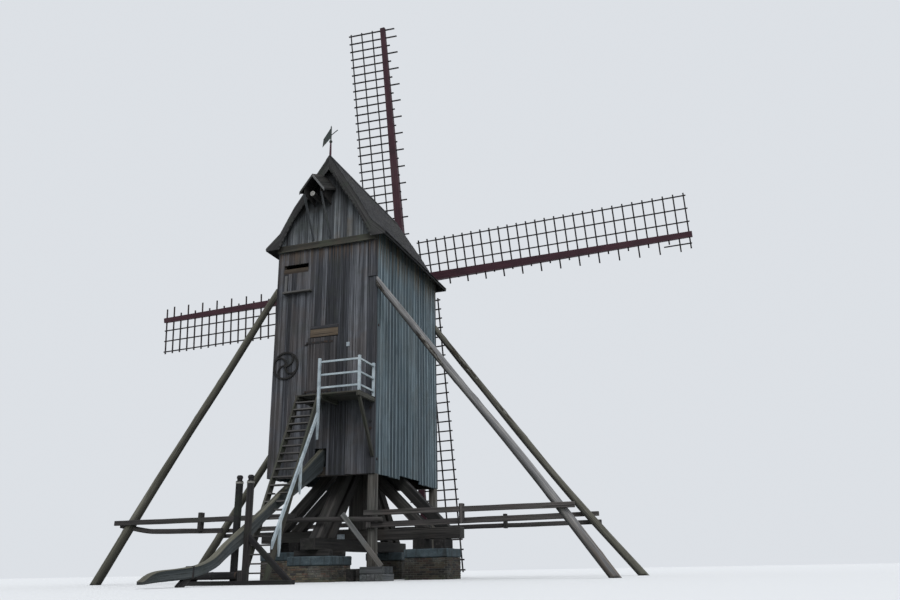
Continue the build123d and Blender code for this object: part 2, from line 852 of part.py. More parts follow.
# A sail lattice: rungs through the stock, two laths and the hem lath on the trailing side
def sail_lattice(arm_deg, forward, lead_bar):
    lath_length = rung_spacing * (rung_count - 1) + rung_width + 2 * lath_overrun
    lath_middle = rung_first + rung_spacing * (rung_count - 1) / 2
    with BuildPart() as bars:
        with BuildSketch(weathered(arm_deg, forward)):
            rung_strips()
            for lath in range(1, lath_count + 1):
                with Locations((lath_middle, hem_distance * lath / lath_count)):
                    Rectangle(lath_length, lath_width)
            if lead_bar:
                last_rung = rung_first + (rung_count - 1) * rung_spacing
                bar_length = lead_bar_rungs * rung_spacing
                with Locations((last_rung + lath_overrun - bar_length / 2, -lead_bar_place)):
                    Rectangle(bar_length, lath_width)
        extrude(amount=rung_thickness)
    return bars


right_sail = sail_lattice(0, -stock_spacing / 2, True)
keep(right_sail, "right_sail_lattice")
upper_sail = sail_lattice(90, stock_spacing / 2, False)
keep(upper_sail, "upper_sail_lattice")
left_sail = sail_lattice(180, -stock_spacing / 2, False)
keep(left_sail, "left_sail_lattice")
lower_sail = sail_lattice(270, stock_spacing / 2, False)
keep(lower_sail, "lower_sail_lattice")


# A raking shore: a tapered log from the ground to a body corner, cut to the ground and the wall
def shore(side, foot_x, y, butt_radius):
    lean = Vector(side * (foot_x - half_width), 0, -shore_top_z).normalized()
    foot = (side * foot_x + lean.X * shore_overrun, y, lean.Z * shore_overrun)
    head = (side * half_width - lean.X * shore_overrun, y, shore_top_z - lean.Z * shore_overrun)
    with BuildPart() as log:
        pole(foot, head, butt_radius, shore_top_radius)
        split(bisect_by=Plane.XY, keep=Keep.TOP)
        split(bisect_by=Plane(spot(side * half_width, 0, 0), z_dir=(side, 0, 0)), keep=Keep.TOP)
    return log


tail_right_shore = shore(1, right_shore_foot, -shore_y, right_shore_butt_radius)
keep(tail_right_shore, "tail_right_shore")
breast_right_shore = shore(1, breast_right_shore_foot, shore_y, right_shore_butt_radius)
keep(breast_right_shore, "breast_right_shore")
tail_left_shore = shore(-1, tail_left_shore_foot, -shore_y, left_shore_butt_radius)
keep(tail_left_shore, "tail_left_shore")
breast_left_shore = shore(-1, breast_left_shore_foot, shore_y, left_shore_butt_radius)
keep(breast_left_shore, "breast_left_shore")


# The radius of the slimmer shores at a height
def shore_radius(z):
    return right_shore_butt_radius + (shore_top_radius - right_shore_butt_radius) * z / shore_top_z


# Rails nailed along a pair of shores and housed over the logs: the upper ones on the outer side,
# the lower ones of the tail side let in behind them. A block reaches in to the corner prop.
rail_face = shore_y + shore_radius(upper_rail_z) - rail_seat
rail_back = rail_face + rail_thickness
spacer_face = rail_face - lower_rail_inset + rail_thickness / 2
prop_left = half_width - prop_size


# A straight rail along a path of x and z places, one length from each place to the next
def rail(side, path, inset=0):
    y = side * (rail_face + rail_thickness / 2 - inset)
    for (x_from, z_from), (x_to, z_to) in zip(path, path[1:]):
        timber((x_from, y, z_from), (x_to, y, z_to), rail_thickness, rail_height)


# A short upright across the rails, reaching in to the lower one
def rail_spacer(side, x, low, high):
    y_from, y_to = sorted((side * spacer_face, side * rail_back))
    block((x, y_from, low), (x + spacer_size, y_to, high))


# The block between the rails and the corner prop
def prop_block(side, low, high):
    y_from, y_to = sorted((side * inner_y, side * (rail_face + rail_thickness / 2)))
    block((prop_left + prop_block_inset, y_from, low), (half_width - prop_block_inset, y_to, high))


with BuildPart() as tail_rails:
    rail(-1, [(rail_left, upper_rail_z), (left_rail_end, upper_rail_z)])
    pole_y = pole_rail_radius - rail_back
    (pole_left_x, pole_left_z), (pole_right_x, pole_right_z) = pole_rail
    pole((pole_left_x, pole_y, pole_left_z), (pole_right_x, pole_y, pole_right_z), pole_rail_radius)
    rail(-1, bent_rail, lower_rail_inset)
    rail(-1, [(prop_left, upper_rail_z), (rail_right, upper_rail_z)])
    rail(-1, [(prop_left + lower_rail_start, lower_rail_left_z), lower_rail_right], lower_rail_inset)
    rail_spacer(-1, *left_spacer)
    rail_spacer(-1, *right_spacer)
    prop_block(-1, lower_rail_left_z - rail_height / 2, prop_block_high)
    for log in (tail_left_shore, tail_right_shore):
        add(log.part, mode=Mode.SUBTRACT)
keep(tail_rails, "tail_rails")
with BuildPart() as breast_rails:
    rail(1, breast_upper_rail)
    rail(1, breast_lower_rail)
    for x, low, high in breast_spacers:
        rail_spacer(1, x, low, high)
    prop_block(1, prop_block_low, prop_block_high)
    for log in (breast_left_shore, breast_right_shore):
        add(log.part, mode=Mode.SUBTRACT)
keep(breast_rails, "breast_rails")

# Props on timber pads under the two right-hand corners of the body, two bearers with their sleeper
# on the ground beside the tail pad, and a raking plank from that pad to the rails
with BuildPart() as corner_props:
    pad_left = prop_left - pad_left_lip
    pad_right = half_width + pad_right_lip
    for y, tail_lip in ((-inner_y, pad_tail_lip), (inner_y - prop_size, pad_breast_lip)):
        block((prop_left, y, pad_height), (half_width, y + prop_size, body_bottom))
        block((pad_left, y - tail_lip, 0), (pad_right, y + prop_size + pad_breast_lip, pad_height))
    for x in bearer_places:
        block((x, -inner_y - pad_breast_lip, 0), (x + bearer_width, -inner_y + pad_breast_lip, bearer_height))
    block((bearer_places[0], -inner_y + pad_breast_lip - sleeper_size, 0),
          (pad_left, -inner_y + pad_breast_lip, sleeper_size))
    across = plank_width / hypot(plank_foot_x - plank_top_x, plank_top_z - pad_height)
    shift_x = across * (plank_top_z - pad_height) / 2
    shift_z = across * (plank_foot_x - plank_top_x) / 2
    foot_half = plank_width * hypot(1, (plank_foot_x - plank_top_x) / (plank_top_z - pad_height)) / 2
    cross_plate([(plank_top_x - shift_x, plank_top_z - shift_z), (plank_top_x + shift_x, plank_top_z + shift_z),
                 (plank_foot_x + foot_half, pad_height), (plank_foot_x - foot_half, pad_height)],
                -rail_back - plank_thickness, -rail_back)
keep(corner_props, "corner_props")

# Platform in front of the door
with BuildPart() as platform:
    joist_top = platform_top - decking_thickness
    joist_bottom = joist_top - platform_joist
    block((platform_left, -platform_front, joist_top), (platform_right, tail_face, platform_top))
    for x in (platform_left, ladder_right, platform_right - platform_joist):
        block((x, -platform_front, joist_bottom), (x + platform_joist, tail_face, joist_top))
    brace_head_y = brace_head_inset - platform_front
    long_plate([(tail_face, brace_foot_z), (tail_face, brace_foot_z + 2 * brace_depth),
                (brace_head_y + brace_depth, joist_bottom), (brace_head_y, joist_bottom)],
               platform_right - brace_depth, platform_right - brace_inset)
keep(platform, "platform")

# White rails of the platform and the ladder's handrail with its three posts
rail_top = platform_top + rail_rise
with BuildPart() as handrails:
    inner_post_y = tail_face - rail_post_size
    posts = ((platform_right - rail_post_size, -platform_front), (platform_right - rail_post_size, inner_post_y),
             (ladder_right, -platform_front - rail_post_size))
    for x, y in posts:
        block((x, y, platform_top), (x + rail_post_size, y + rail_post_size, rail_top))
    for level in rail_levels:
        z = platform_top + rail_rise * level
        block((ladder_right, -platform_front, z), (platform_right, -platform_front + rail_bar, z + rail_bar))
        bar_right = platform_right - rail_bar_inset
        block((bar_right - rail_bar, rail_bar_inset - platform_front, z), (bar_right, tail_face, z + rail_bar))
    newel_front = -platform_front - rail_post_size
    long_plate([(newel_front, newel_tip_z + newel_taper), (newel_front, platform_top),
                (-platform_front, platform_top), (-platform_front, newel_tip_z + newel_taper),
                (newel_front + rail_post_size / 2, newel_tip_z)], ladder_right, ladder_right + rail_post_size)
    fall = (hand_rail_top_z - hand_rail_foot_z) / (hand_rail_top_y - hand_rail_foot_y)
    rail_drop = hand_rail_depth * hypot(1, fall)
    inner_top_y = newel_front + rail_post_size / 2
    inner_top_z = hand_rail_top_z + fall * (inner_top_y - hand_rail_top_y)
    hand_rail_right = ladder_right + hand_post_thickness
    long_plate([(hand_rail_foot_y, hand_rail_foot_z), (inner_top_y, inner_top_z),
                (inner_top_y, inner_top_z - rail_drop), (hand_rail_foot_y, hand_rail_foot_z - rail_drop)],
               ladder_right, hand_rail_right)
    for y in hand_post_places:
        top = hand_rail_foot_z + fall * (y - hand_rail_foot_y) - hand_post_drop
        tip = top - hand_post_length
        front = y - hand_post_width / 2
        back = y + hand_post_width / 2
        long_plate([(front, tip + hand_post_taper), (front, top), (back, top), (back, tip + hand_post_taper),
                    (y, tip)], ladder_right, hand_rail_right)
keep(handrails, "handrails")

# Ladder: two stringers from the platform to the ground
ladder_head_y = -platform_front
ladder_head_z = platform_top
ladder_slope = ladder_head_z / (ladder_head_y - ladder_foot_y)
stringer_reach = stringer_depth * hypot(1, 1 / ladder_slope)
stringer_outline = [(ladder_foot_y, 0), (ladder_foot_y + stringer_reach, 0),
                    (ladder_head_y, (ladder_head_y - ladder_foot_y - stringer_reach) * ladder_slope),
                    (ladder_head_y, ladder_head_z)]
with BuildPart() as ladder_stringers:
    long_plate(stringer_outline, ladder_left, ladder_left + stringer_thickness)
    long_plate(stringer_outline, ladder_right - stringer_thickness, ladder_right)
keep(ladder_stringers, "ladder_stringers")

# The tail beam's upper and lower edges, as y and z places from the post
beam_top_edge = [(-2700, 4270), (-4200, 3290), (-5480, 2515), (-6250, 2035), (-7180, 1520), (-8000, 1065),
                 (-8570, 690), (-9120, 510), (-9750, 432), (-10760, 350)]
beam_tip = [(-11210, 150), (-11200, 85)]
beam_low_edge = [(-10760, 120), (-9680, 180), (-9090, 265), (-8500, 430), (-7970, 720), (-7000, 1210),
                 (-6080, 1800), (-4500, 2610), (-3100, 3290)]
chock_foot = (-9950, -9740)
chock_head = (-9560, -9340)
beam_seat_z = body_bottom + sill_height


# The height of a beam edge at a place along Y
def edge_height(edge, y):
    for (y_a, z_a), (y_b, z_b) in zip(edge, edge[1:]):
        if min(y_a, y_b) <= y <= max(y_a, y_b):
            return z_a + (z_b - z_a) * (y - y_a) / (y_b - y_a)
    return 0


# Treads between the stringers; where the tail beam passes, short ends are left beside it
with BuildPart() as ladder_treads:
    beam_half = tail_beam_width / 2 + tread_side_gap
    for step in range(1, ceil(ladder_head_z / tread_rise)):
        z = ladder_head_z - step * tread_rise
        front = ladder_foot_y + z / ladder_slope
        back = front + min(tread_depth, stringer_reach)
        spans = [(ladder_left + stringer_thickness, ladder_right - stringer_thickness)]
        beam_low = edge_height(beam_low_edge, back) - tread_end_gap
        beam_high = edge_height(beam_top_edge, front) + tread_end_gap
        if beam_low < z < beam_high or beam_low < z - tread_thickness < beam_high:
            spans = [(ladder_left + stringer_thickness, -beam_half), (beam_half, ladder_right - stringer_thickness)]
        for x_from, x_to in spans:
            block((x_from, front, z - tread_thickness), (x_to, back, z))
keep(ladder_treads, "ladder_treads")

# Tail beam: a naturally curved trunk that leaves the body between the stringers
with BuildPart() as tail_beam:
    with BuildSketch(Plane(spot(-tail_beam_width / 2, 0, 0), x_dir=(0, 1, 0), z_dir=(1, 0, 0))):
        with BuildLine():
            Spline(*beam_top_edge)
            Polyline(beam_top_edge[-1], *beam_tip, beam_low_edge[0])
            Spline(*beam_low_edge)
            Polyline(beam_low_edge[-1], (-inner_y, beam_seat_z), (beam_top_edge[0][0], beam_seat_z), beam_top_edge[0])
        make_face()
    extrude(amount=tail_beam_width)
    # A raking chock under the beam near its tip
    under = [(y, edge_height(beam_low_edge, y) + chock_bite) for y in chock_head]
    long_plate([(chock_foot[0], 0), (chock_foot[1], 0), under[1], under[0]], -chock_width / 2, chock_width / 2)
keep(tail_beam, "tail_beam")

# Winch frame: two posts beside the tail beam on a sole timber, with raking struts, and in front of
# them the drum's bearing post and bearing block
winch_x = tail_beam_width / 2 + winch_post_size / 2
half_post = winch_post_size / 2
bearing_front = drum_y - bearing_post_size / 2
bearing_back = drum_y + bearing_post_size / 2
drum_right = winch_x - half_post
with BuildPart() as winch_frame:
    for x in (-winch_x, winch_x):
        block((x - half_post, winch_y - half_post, 0), (x + half_post, winch_y + half_post, winch_post_height))
    post_tops = winch_frame.edges().group_by(Axis.Z)[-1]
    chamfer(post_tops, length=winch_post_point)
    for side in (-1, 1):
        timber((side * winch_x, winch_y, strut_head_z), (side * strut_foot_x, winch_y, winch_sole_height / 2),
               strut_breadth, strut_depth)
    block((-winch_sole_reach, bearing_front, 0), (winch_sole_reach, winch_y + half_post, winch_sole_height))
    block((drum_left - bearing_post_size, bearing_front, 0), (drum_left, bearing_back, bearing_post_height))
    block((drum_right, bearing_front, 0), (drum_right + winch_post_size, winch_y, bearing_post_height))
    pole((drum_left - bearing_post_size - 1, drum_y, drum_z), (drum_left + 1, drum_y, drum_z), drum_pin_radius + 1,
         mode=Mode.SUBTRACT)
    pole((drum_right - 1, drum_y, drum_z), (drum_right + half_post, drum_y, drum_z), drum_pin_radius + 1,
         mode=Mode.SUBTRACT)
keep(winch_frame, "winch_frame")

# Winch drum between its bearing post and the bearing block
with BuildPart() as winch_drum:
    pole((drum_left + drum_end_gap, drum_y, drum_z), (drum_right - drum_end_gap, drum_y, drum_z), drum_radius)
    pole((drum_left - bearing_post_size, drum_y, drum_z), (drum_right + half_post - drum_end_gap, drum_y, drum_z),
         drum_pin_radius)
keep(winch_drum, "winch_drum")

# Entrance door and its two strap hinges
leaf_left = door_left + door_gap
leaf_right = door_right - door_gap
leaf_face = tail_face - leaf_proud
hinge_x = door_left - eye_radius - pin_inset
hinge_y = leaf_face - eye_radius
with BuildPart() as entrance_door:
    block((leaf_left, leaf_face, door_sill + door_gap), (leaf_right, leaf_face + leaf_thickness, door_head - door_gap))
keep(entrance_door, "entrance_door")
with BuildPart() as door_hinges:
    for z in strap_heights:
        low = z - strap_height / 2
        block((hinge_x, leaf_face - strap_thickness, low), (leaf_left + strap_length, leaf_face, low + strap_height))
        pole((hinge_x, hinge_y, low), (hinge_x, hinge_y, low + strap_height), eye_radius)
        pole((hinge_x, hinge_y, low - 1), (hinge_x, hinge_y, low + strap_height + 1), pin_radius + pin_clearance,
             mode=Mode.SUBTRACT)
keep(door_hinges, "door_hinges")

# Pintles on the wall that carry the straps
with BuildPart() as door_pintles:
    for z in strap_heights:
        seat = z - strap_height / 2 - pin_clearance
        pole((hinge_x, hinge_y, seat - 1), (hinge_x, hinge_y, seat + strap_height), pin_radius)
        block((hinge_x - pin_radius, hinge_y, seat - 30), (hinge_x + pin_radius, tail_face, seat))
        pole((hinge_x, hinge_y, seat - 30), (hinge_x, hinge_y, seat), pin_radius)
        block((hinge_x - 100, tail_face - 6, seat - 50), (hinge_x + 20, tail_face, seat + 10))
keep(door_pintles, "door_pintles")

# Vane pole on the ridge, with a knob, a collar and the pin that the vane turns on
vane_y = tail_face - tail_overhang + 60
knob_z = ridge_z + vane_pole_height
collar_z = knob_z + knob_radius + 2
with BuildPart() as vane_pole:
    pole((ridge_x, vane_y, ridge_z), (ridge_x, vane_y, collar_z), vane_pole_radius)
    pole((ridge_x, vane_y, ridge_z), (ridge_x, vane_y, collar_z + vane_pin_length), vane_pin_radius)
    with Locations(spot(ridge_x, vane_y, knob_z)):
        Sphere(knob_radius)
keep(vane_pole, "vane_pole")

# Weathervane: a sleeve with a slanted plate on one side and a pointer on the other
vane_low = collar_z + 0.5
vane_way = Vector(cos(radians(vane_turn_deg)), sin(radians(vane_turn_deg)), 0)
vane_side = Vector(-vane_way.Y, vane_way.X, 0)
with BuildPart() as weathervane:
    pole((ridge_x, vane_y, vane_low), (ridge_x, vane_y, vane_low + vane_sleeve_length), vane_sleeve_radius)
    with BuildSketch(Plane(spot(ridge_x, vane_y, vane_low) + vane_side * (vane_plate_thickness / 2),
                           x_dir=vane_way, z_dir=vane_side * -1)) as plate:
        with BuildLine():
            Polyline((0, 100), (-vane_plate_reach, -20), (-vane_plate_reach + 60, 300), (0, vane_sleeve_length - 20),
                     close=True)
        make_face()
    extrude(plate.sketch, amount=vane_plate_thickness)
    with BuildSketch(Plane(spot(ridge_x, vane_y, vane_low + 200), z_dir=vane_way)) as pointer:
        Circle(vane_pointer_radius)
    extrude(pointer.sketch, amount=vane_pointer_reach)
    pole((ridge_x, vane_y, vane_low - 1), (ridge_x, vane_y, vane_low + vane_sleeve_length + 1),
         vane_pin_radius + vane_clearance, mode=Mode.SUBTRACT)
keep(weathervane, "weathervane")
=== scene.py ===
# Flemish post mill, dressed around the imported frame. All lengths are in metres.
import math
import random

import bmesh
import bpy
from mathutils import Matrix, Vector, noise


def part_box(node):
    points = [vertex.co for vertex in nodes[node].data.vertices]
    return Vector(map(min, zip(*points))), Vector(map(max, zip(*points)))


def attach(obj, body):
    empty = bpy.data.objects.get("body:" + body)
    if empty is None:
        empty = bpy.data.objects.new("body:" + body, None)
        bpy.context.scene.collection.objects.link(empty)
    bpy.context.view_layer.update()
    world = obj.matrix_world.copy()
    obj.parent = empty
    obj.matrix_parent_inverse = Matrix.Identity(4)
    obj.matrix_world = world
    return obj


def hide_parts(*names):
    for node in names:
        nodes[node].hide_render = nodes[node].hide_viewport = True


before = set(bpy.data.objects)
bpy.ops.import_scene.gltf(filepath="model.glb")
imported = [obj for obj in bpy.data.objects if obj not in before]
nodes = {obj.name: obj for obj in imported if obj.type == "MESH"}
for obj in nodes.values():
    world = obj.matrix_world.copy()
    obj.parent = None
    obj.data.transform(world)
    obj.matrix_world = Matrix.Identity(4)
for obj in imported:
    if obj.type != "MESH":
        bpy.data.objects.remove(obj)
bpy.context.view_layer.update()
dice = random.Random(41)
noise.seed_set(41)        # without it noise_vector takes its places from the clock
postY = 2.4175            # the foot of the post along Y, where part.py puts it
print("frame loaded,", len(nodes), "nodes")


# A shader socket that takes plain arithmetic
class Sock:
    def __init__(self, owner, socket):
        self.owner = owner
        self.socket = socket

    def maths(self, operation, first, second):
        return self.owner.node("ShaderNodeMath", {"operation": operation}, {0: first, 1: second})

    def __add__(self, other):
        return self.maths("ADD", self, other)

    def __sub__(self, other):
        return self.maths("SUBTRACT", self, other)

    def __rsub__(self, other):
        return self.maths("SUBTRACT", other, self)

    def __mul__(self, other):
        return self.maths("MULTIPLY", self, other)

    __radd__ = __add__
    __rmul__ = __mul__

    def between(self, low, high):        # 0 below low, 1 above high, smooth between
        return self.owner.node("ShaderNodeMapRange", {"interpolation_type": "SMOOTHSTEP"},
                               {"Value": self, "From Min": low, "From Max": high})


# The nodes of a material or of the world
class NodeTree:
    def __init__(self, tree):
        self.tree = tree

    def node(self, kind, settings=None, inputs=None, output=0):
        made = self.tree.nodes.new(kind)
        for key, value in (settings or {}).items():
            if key == "stops":
                ramp = made.color_ramp
                while len(ramp.elements) < len(value):
                    ramp.elements.new(0.5)
                for element, (place, colour) in zip(ramp.elements, value):
                    element.position = place
                    element.color = (*colour, 1)
            else:
                setattr(made, key, value)
        for key, value in (inputs or {}).items():
            if isinstance(value, Sock):
                self.tree.links.new(value.socket, made.inputs[key])
            else:
                made.inputs[key].default_value = value
        return Sock(self, made.outputs[output])

    def showTwoWays(self, lit, shown, output):
        # the first shader is what lights the mill, the second what the eye, gloss and glass see
        camera, gloss, glass = [self.node("ShaderNodeLightPath", output=ray)
                                for ray in ("Is Camera Ray", "Is Glossy Ray", "Is Transmission Ray")]
        seen = self.node("ShaderNodeMath", {"operation": "ADD", "use_clamp": True},
                         {0: camera + gloss, 1: glass})
        chosen = self.node("ShaderNodeMixShader", None, {0: seen, 1: lit, 2: shown})
        self.tree.links.new(chosen.socket, self.tree.nodes[output].inputs["Surface"])


class Paint(NodeTree):
    def __init__(self, name):
        self.material = bpy.data.materials.new(name)
        self.material.use_nodes = True
        super().__init__(self.material.node_tree)
        self.shader = self.tree.nodes["Principled BSDF"]

    def place(self):
        return self.node("ShaderNodeTexCoord", output="Object")

    def facing(self, letter):
        return self.axis(self.node("ShaderNodeTexCoord", output="Normal"), letter)

    def axis(self, vector, letter):
        return self.node("ShaderNodeSeparateXYZ", inputs={0: vector}, output=letter)

    def stretched(self, vector, scale):
        return self.node("ShaderNodeMapping", inputs={"Vector": vector, "Scale": scale})

    def grainOf(self):
        return self.node("ShaderNodeAttribute", {"attribute_name": "grain"}, output="Vector")

    def toneOf(self):
        return self.node("ShaderNodeAttribute", {"attribute_name": "tone"}, output="Fac")

    def cloud(self, vector, scale, detail, rough, warp=0.0):
        return self.node("ShaderNodeTexNoise", None, {"Vector": vector, "Scale": scale, "Detail": detail,
                                                      "Roughness": rough, "Distortion": warp})

    def streaks(self, grain, along, across, detail, rough, warp=0.0):
        return self.cloud(self.stretched(grain, (along, across, across)), 1.0, detail, rough, warp)

    def ramp(self, factor, stops):
        return self.node("ShaderNodeValToRGB", {"stops": stops}, {"Fac": factor})

    def mix(self, first, second, factor):
        first, second = [c if isinstance(c, Sock) else (*c, 1) for c in (first, second)]
        return self.node("ShaderNodeMix", {"data_type": "RGBA"}, {"Factor": factor, 6: first, 7: second},
                         output=2)

    def finish(self, colour, rough, height=None, depth=0.004, metal=0.0):
        for key, value in (("Base Color", colour), ("Roughness", rough), ("Metallic", metal)):
            if isinstance(value, Sock):
                self.tree.links.new(value.socket, self.shader.inputs[key])
            else:
                self.shader.inputs[key].default_value = (*value, 1) if key == "Base Color" else value
        self.shader.inputs["Specular IOR Level"].default_value = 0.3
        if height is not None:
            normal = self.node("ShaderNodeBump", None, {"Strength": 0.7, "Distance": depth, "Height": height},
                               output="Normal")
            self.tree.links.new(normal.socket, self.shader.inputs["Normal"])
        return self.material


def darker(colour, share):
    return [c * share for c in colour]


# Weathered wood. Every piece carries its own grain direction and tone, so one recipe serves all timbers.
# Colours are in thousandths: the dark, middle and pale tone, then the warm and the mossy patches. After them
# come the strength of the warm and of the mossy patches, and how fine the broad grain is across.
def woodLook(dark, mid, pale, warm, moss, warmth, mossiness, coarse, **extra):
    look = dict(dark=dark, mid=mid, pale=pale, warm=warm, moss=moss, warmth=warmth, mossiness=mossiness,
                coarse=coarse, **extra)
    return {key: [c / 1000 for c in value] if isinstance(value, tuple) else value
            for key, value in look.items()}


woodLooks = {
    # low, here and on the side boards, is painted shade at the foot of the walls
    "tailBoards": woodLook((8, 8, 10), (43, 46, 55), (150, 158, 178), (74, 52, 38), (34, 40, 32), 0.4, 0.25,
                           5, stain=(95, 62, 38), stainFrom=10.5, stainTo=11.3, low=(20, 21, 25)),
    # the gable's dark ridge colour is painted shade under the ridge and round the hood
    "gableBoards": woodLook((12, 12, 13), (74, 81, 90), (230, 250, 270), (120, 88, 52), (45, 56, 44), 0.5,
                            0.3, 6, peak=(16, 16, 17)),
    "sideBoards": woodLook((14, 21, 28), (48, 73, 92), (185, 240, 272), (85, 74, 56), (30, 44, 40), 0.3,
                           0.25, 7, stain=(190, 140, 85), stainFrom=10.2, stainTo=11.2, low=(20, 31, 40)),
    "battens": woodLook((60, 82, 98), (145, 192, 222), (250, 305, 335), (100, 90, 70), (40, 55, 48), 0.3,
                        0.2, 7, stain=(150, 110, 62), stainFrom=10.2, stainTo=11.3),
    "verge": woodLook((10, 10, 10), (40, 39, 40), (110, 108, 106), (80, 60, 42), (36, 44, 34), 0.4, 0.45, 7),
    "band": woodLook((11, 11, 9), (33, 31, 26), (80, 78, 64), (70, 50, 32), (45, 52, 34), 0.4, 0.6, 8),
    "fascia": woodLook((60, 60, 60), (130, 132, 136), (220, 225, 230), (90, 75, 55), (50, 55, 45), 0.3, 0.2,
                       8),
    "shingles": woodLook((5, 5, 6), (17, 17, 20), (50, 49, 50), (36, 30, 22), (22, 27, 18), 0.4, 0.45, 9),
    # near black: weathered oak with the shade under the body painted into it
    "oldOakAndUnderShade": woodLook((3, 3, 3), (14, 13, 13), (58, 55, 52), (36, 26, 20), (24, 28, 20), 0.4, 0.25, 8),
    "frameOak": woodLook((10, 9, 8), (32, 26, 21), (70, 58, 46), (55, 36, 22), (20, 20, 16), 0.5, 0.1, 8),
    "ladderWood": woodLook((12, 12, 10), (36, 36, 30), (95, 95, 82), (62, 44, 30), (36, 46, 28), 0.35, 0.55,
                           8),
    "treadWood": woodLook((10, 9, 10), (34, 32, 33), (90, 86, 84), (55, 38, 28), (30, 36, 24), 0.35, 0.3, 8,
                          front=(120, 115, 112)),
    "railWood": woodLook((14, 13, 13), (44, 40, 40), (105, 96, 92), (65, 44, 36), (32, 40, 28), 0.4, 0.3, 8),
    "paleRail": woodLook((22, 23, 24), (76, 78, 80), (160, 162, 160), (85, 62, 42), (40, 45, 30), 0.4, 0.2,
                         8),
    "propWood": woodLook((10, 10, 9), (52, 50, 46), (170, 168, 158), (70, 52, 36), (40, 48, 38), 0.4, 0.35,
                         6),
    "padWood": woodLook((18, 21, 23), (52, 58, 64), (120, 130, 138), (60, 45, 35), (35, 44, 34), 0.3, 0.3,
                        7),
    # the tail beam's top colour is partly painted light on its upper faces
    "tailBeam": woodLook((13, 17, 18), (36, 44, 48), (90, 100, 104), (60, 48, 34), (30, 38, 28), 0.35, 0.3,
                         5, top=(120, 116, 88)),
    "doorWood": woodLook((8, 8, 9), (38, 38, 43), (125, 122, 130), (72, 50, 36), (30, 30, 24), 0.4, 0.1, 6),
    "lintelWood": woodLook((14, 11, 9), (58, 43, 32), (135, 108, 78), (78, 50, 30), (50, 40, 25), 0.5, 0.15,
                           7),
    # also the painted shadow in the bargeboard notches
    "wheelWoodAndNotchShadow": woodLook((5, 5, 5), (14, 13, 13), (34, 31, 30), (28, 18, 14), (16, 18, 13), 0.4, 0.2, 9),
    "winchWood": woodLook((4, 4, 5), (14, 13, 14), (50, 48, 48), (30, 22, 20), (22, 30, 20), 0.4, 0.45, 8),
    "paleEnd": woodLook((120, 115, 105), (250, 245, 230), (400, 400, 390), (200, 170, 130), (120, 120, 90),
                        0.3, 0.2, 9),
    "lattice": woodLook((6, 5, 6), (16, 14, 16), (40, 34, 37), (36, 20, 18), (20, 20, 16), 0.4, 0.1, 9),
}


def makeWood(name, look):
    p = Paint(name)
    grain = p.grainOf()
    tone = p.toneOf()
    here = p.place()
    fibre = p.streaks(grain, 1.5, 75, 3, 0.6).between(0.30, 0.70)
    streak = p.streaks(grain, 0.35, 21, 5, 0.64, 0.3).between(0.30, 0.70)
    broad = p.streaks(grain, 0.17, look["coarse"], 3, 0.55, 0.2).between(0.3, 0.7)
    patch = p.cloud(here, 0.75, 4, 0.6, 0.4)
    shade = tone * 0.27 + broad * 0.27 + streak * 0.32 + fibre * 0.14
    colour = p.ramp(shade, ((0.20, look["dark"]), (0.50, look["mid"]), (0.84, look["pale"])))
    warmMask = patch.between(0.44, 0.62) * tone.between(0.15, 0.7) * look["warmth"]
    colour = p.mix(colour, look["warm"], warmMask * (0.45 + streak * 0.55))
    mossPatch = p.cloud(here, 1.6, 5, 0.62).between(0.48, 0.66)
    colour = p.mix(colour, look["moss"], mossPatch * look["mossiness"])
    if "stain" in look:                  # rain has washed the wood bare under the eaves
        runs = p.streaks(grain, 0.12, 16, 3, 0.6)
        reach = p.axis(here, "Z").between(look["stainFrom"], look["stainTo"])
        colour = p.mix(colour, look["stain"], reach * runs.between(0.42, 0.62) * 0.65)
    if "low" in look:                    # painted shade: darker towards the foot of the wall, where the overhang and the platform shade it
        colour = p.mix(colour, look["low"], p.axis(here, "Z").between(5.7, 4.0) * 0.2)
    if "peak" in look:                   # painted shade under the ridge and round the hood
        high = p.axis(here, "Z") + patch * 1.6
        colour = p.mix(colour, look["peak"], high.between(12.9, 14.3) * 0.85)
    if "front" in look:                  # worn front edges
        colour = p.mix(colour, look["front"], p.facing("Y").between(-0.6, -0.85) * (0.4 + streak * 0.5))
    if "top" in look:                    # paler upper faces: bleached wood, with painted light from the sky on the tops
        litUpward = p.facing("Z").between(0.45, 0.75)
        litTopTone = p.ramp(streak * 0.6 + broad * 0.4, ((0.1, darker(look["top"], 0.45)), (0.75, look["top"])))
        colour = p.mix(colour, litTopTone, litUpward * 0.9)
    crack = p.streaks(grain, 0.5, 46, 2, 0.5, 0.5).between(0.58, 0.66)
    colour = p.mix(colour, darker(look["dark"], 0.4), crack * 0.75)
    relief = streak * 0.45 + broad * 0.2 + fibre * 0.15 - crack
    return p.finish(colour, 0.74 + streak * 0.2, relief, 0.006)


def makeStockPaint():
    p = Paint("stockPaint")
    grain = p.grainOf()
    here = p.place()
    fine = p.streaks(grain, 0.8, 22, 5, 0.6, 0.3)
    patch = p.cloud(here, 1.1, 4, 0.6)
    base = p.ramp(fine * 0.6 + patch * 0.4, ((0.34, (0.018, 0.007, 0.011)), (0.52, (0.042, 0.013, 0.021)),
                                             (0.72, (0.076, 0.026, 0.036))))
    worn = (patch * 0.5 + fine * 0.5).between(0.56, 0.66)
    colour = p.mix(base, (0.042, 0.034, 0.034), worn * 0.7)
    return p.finish(colour, 0.55 + fine * 0.25, fine * 0.6 - worn * 0.5, 0.004)


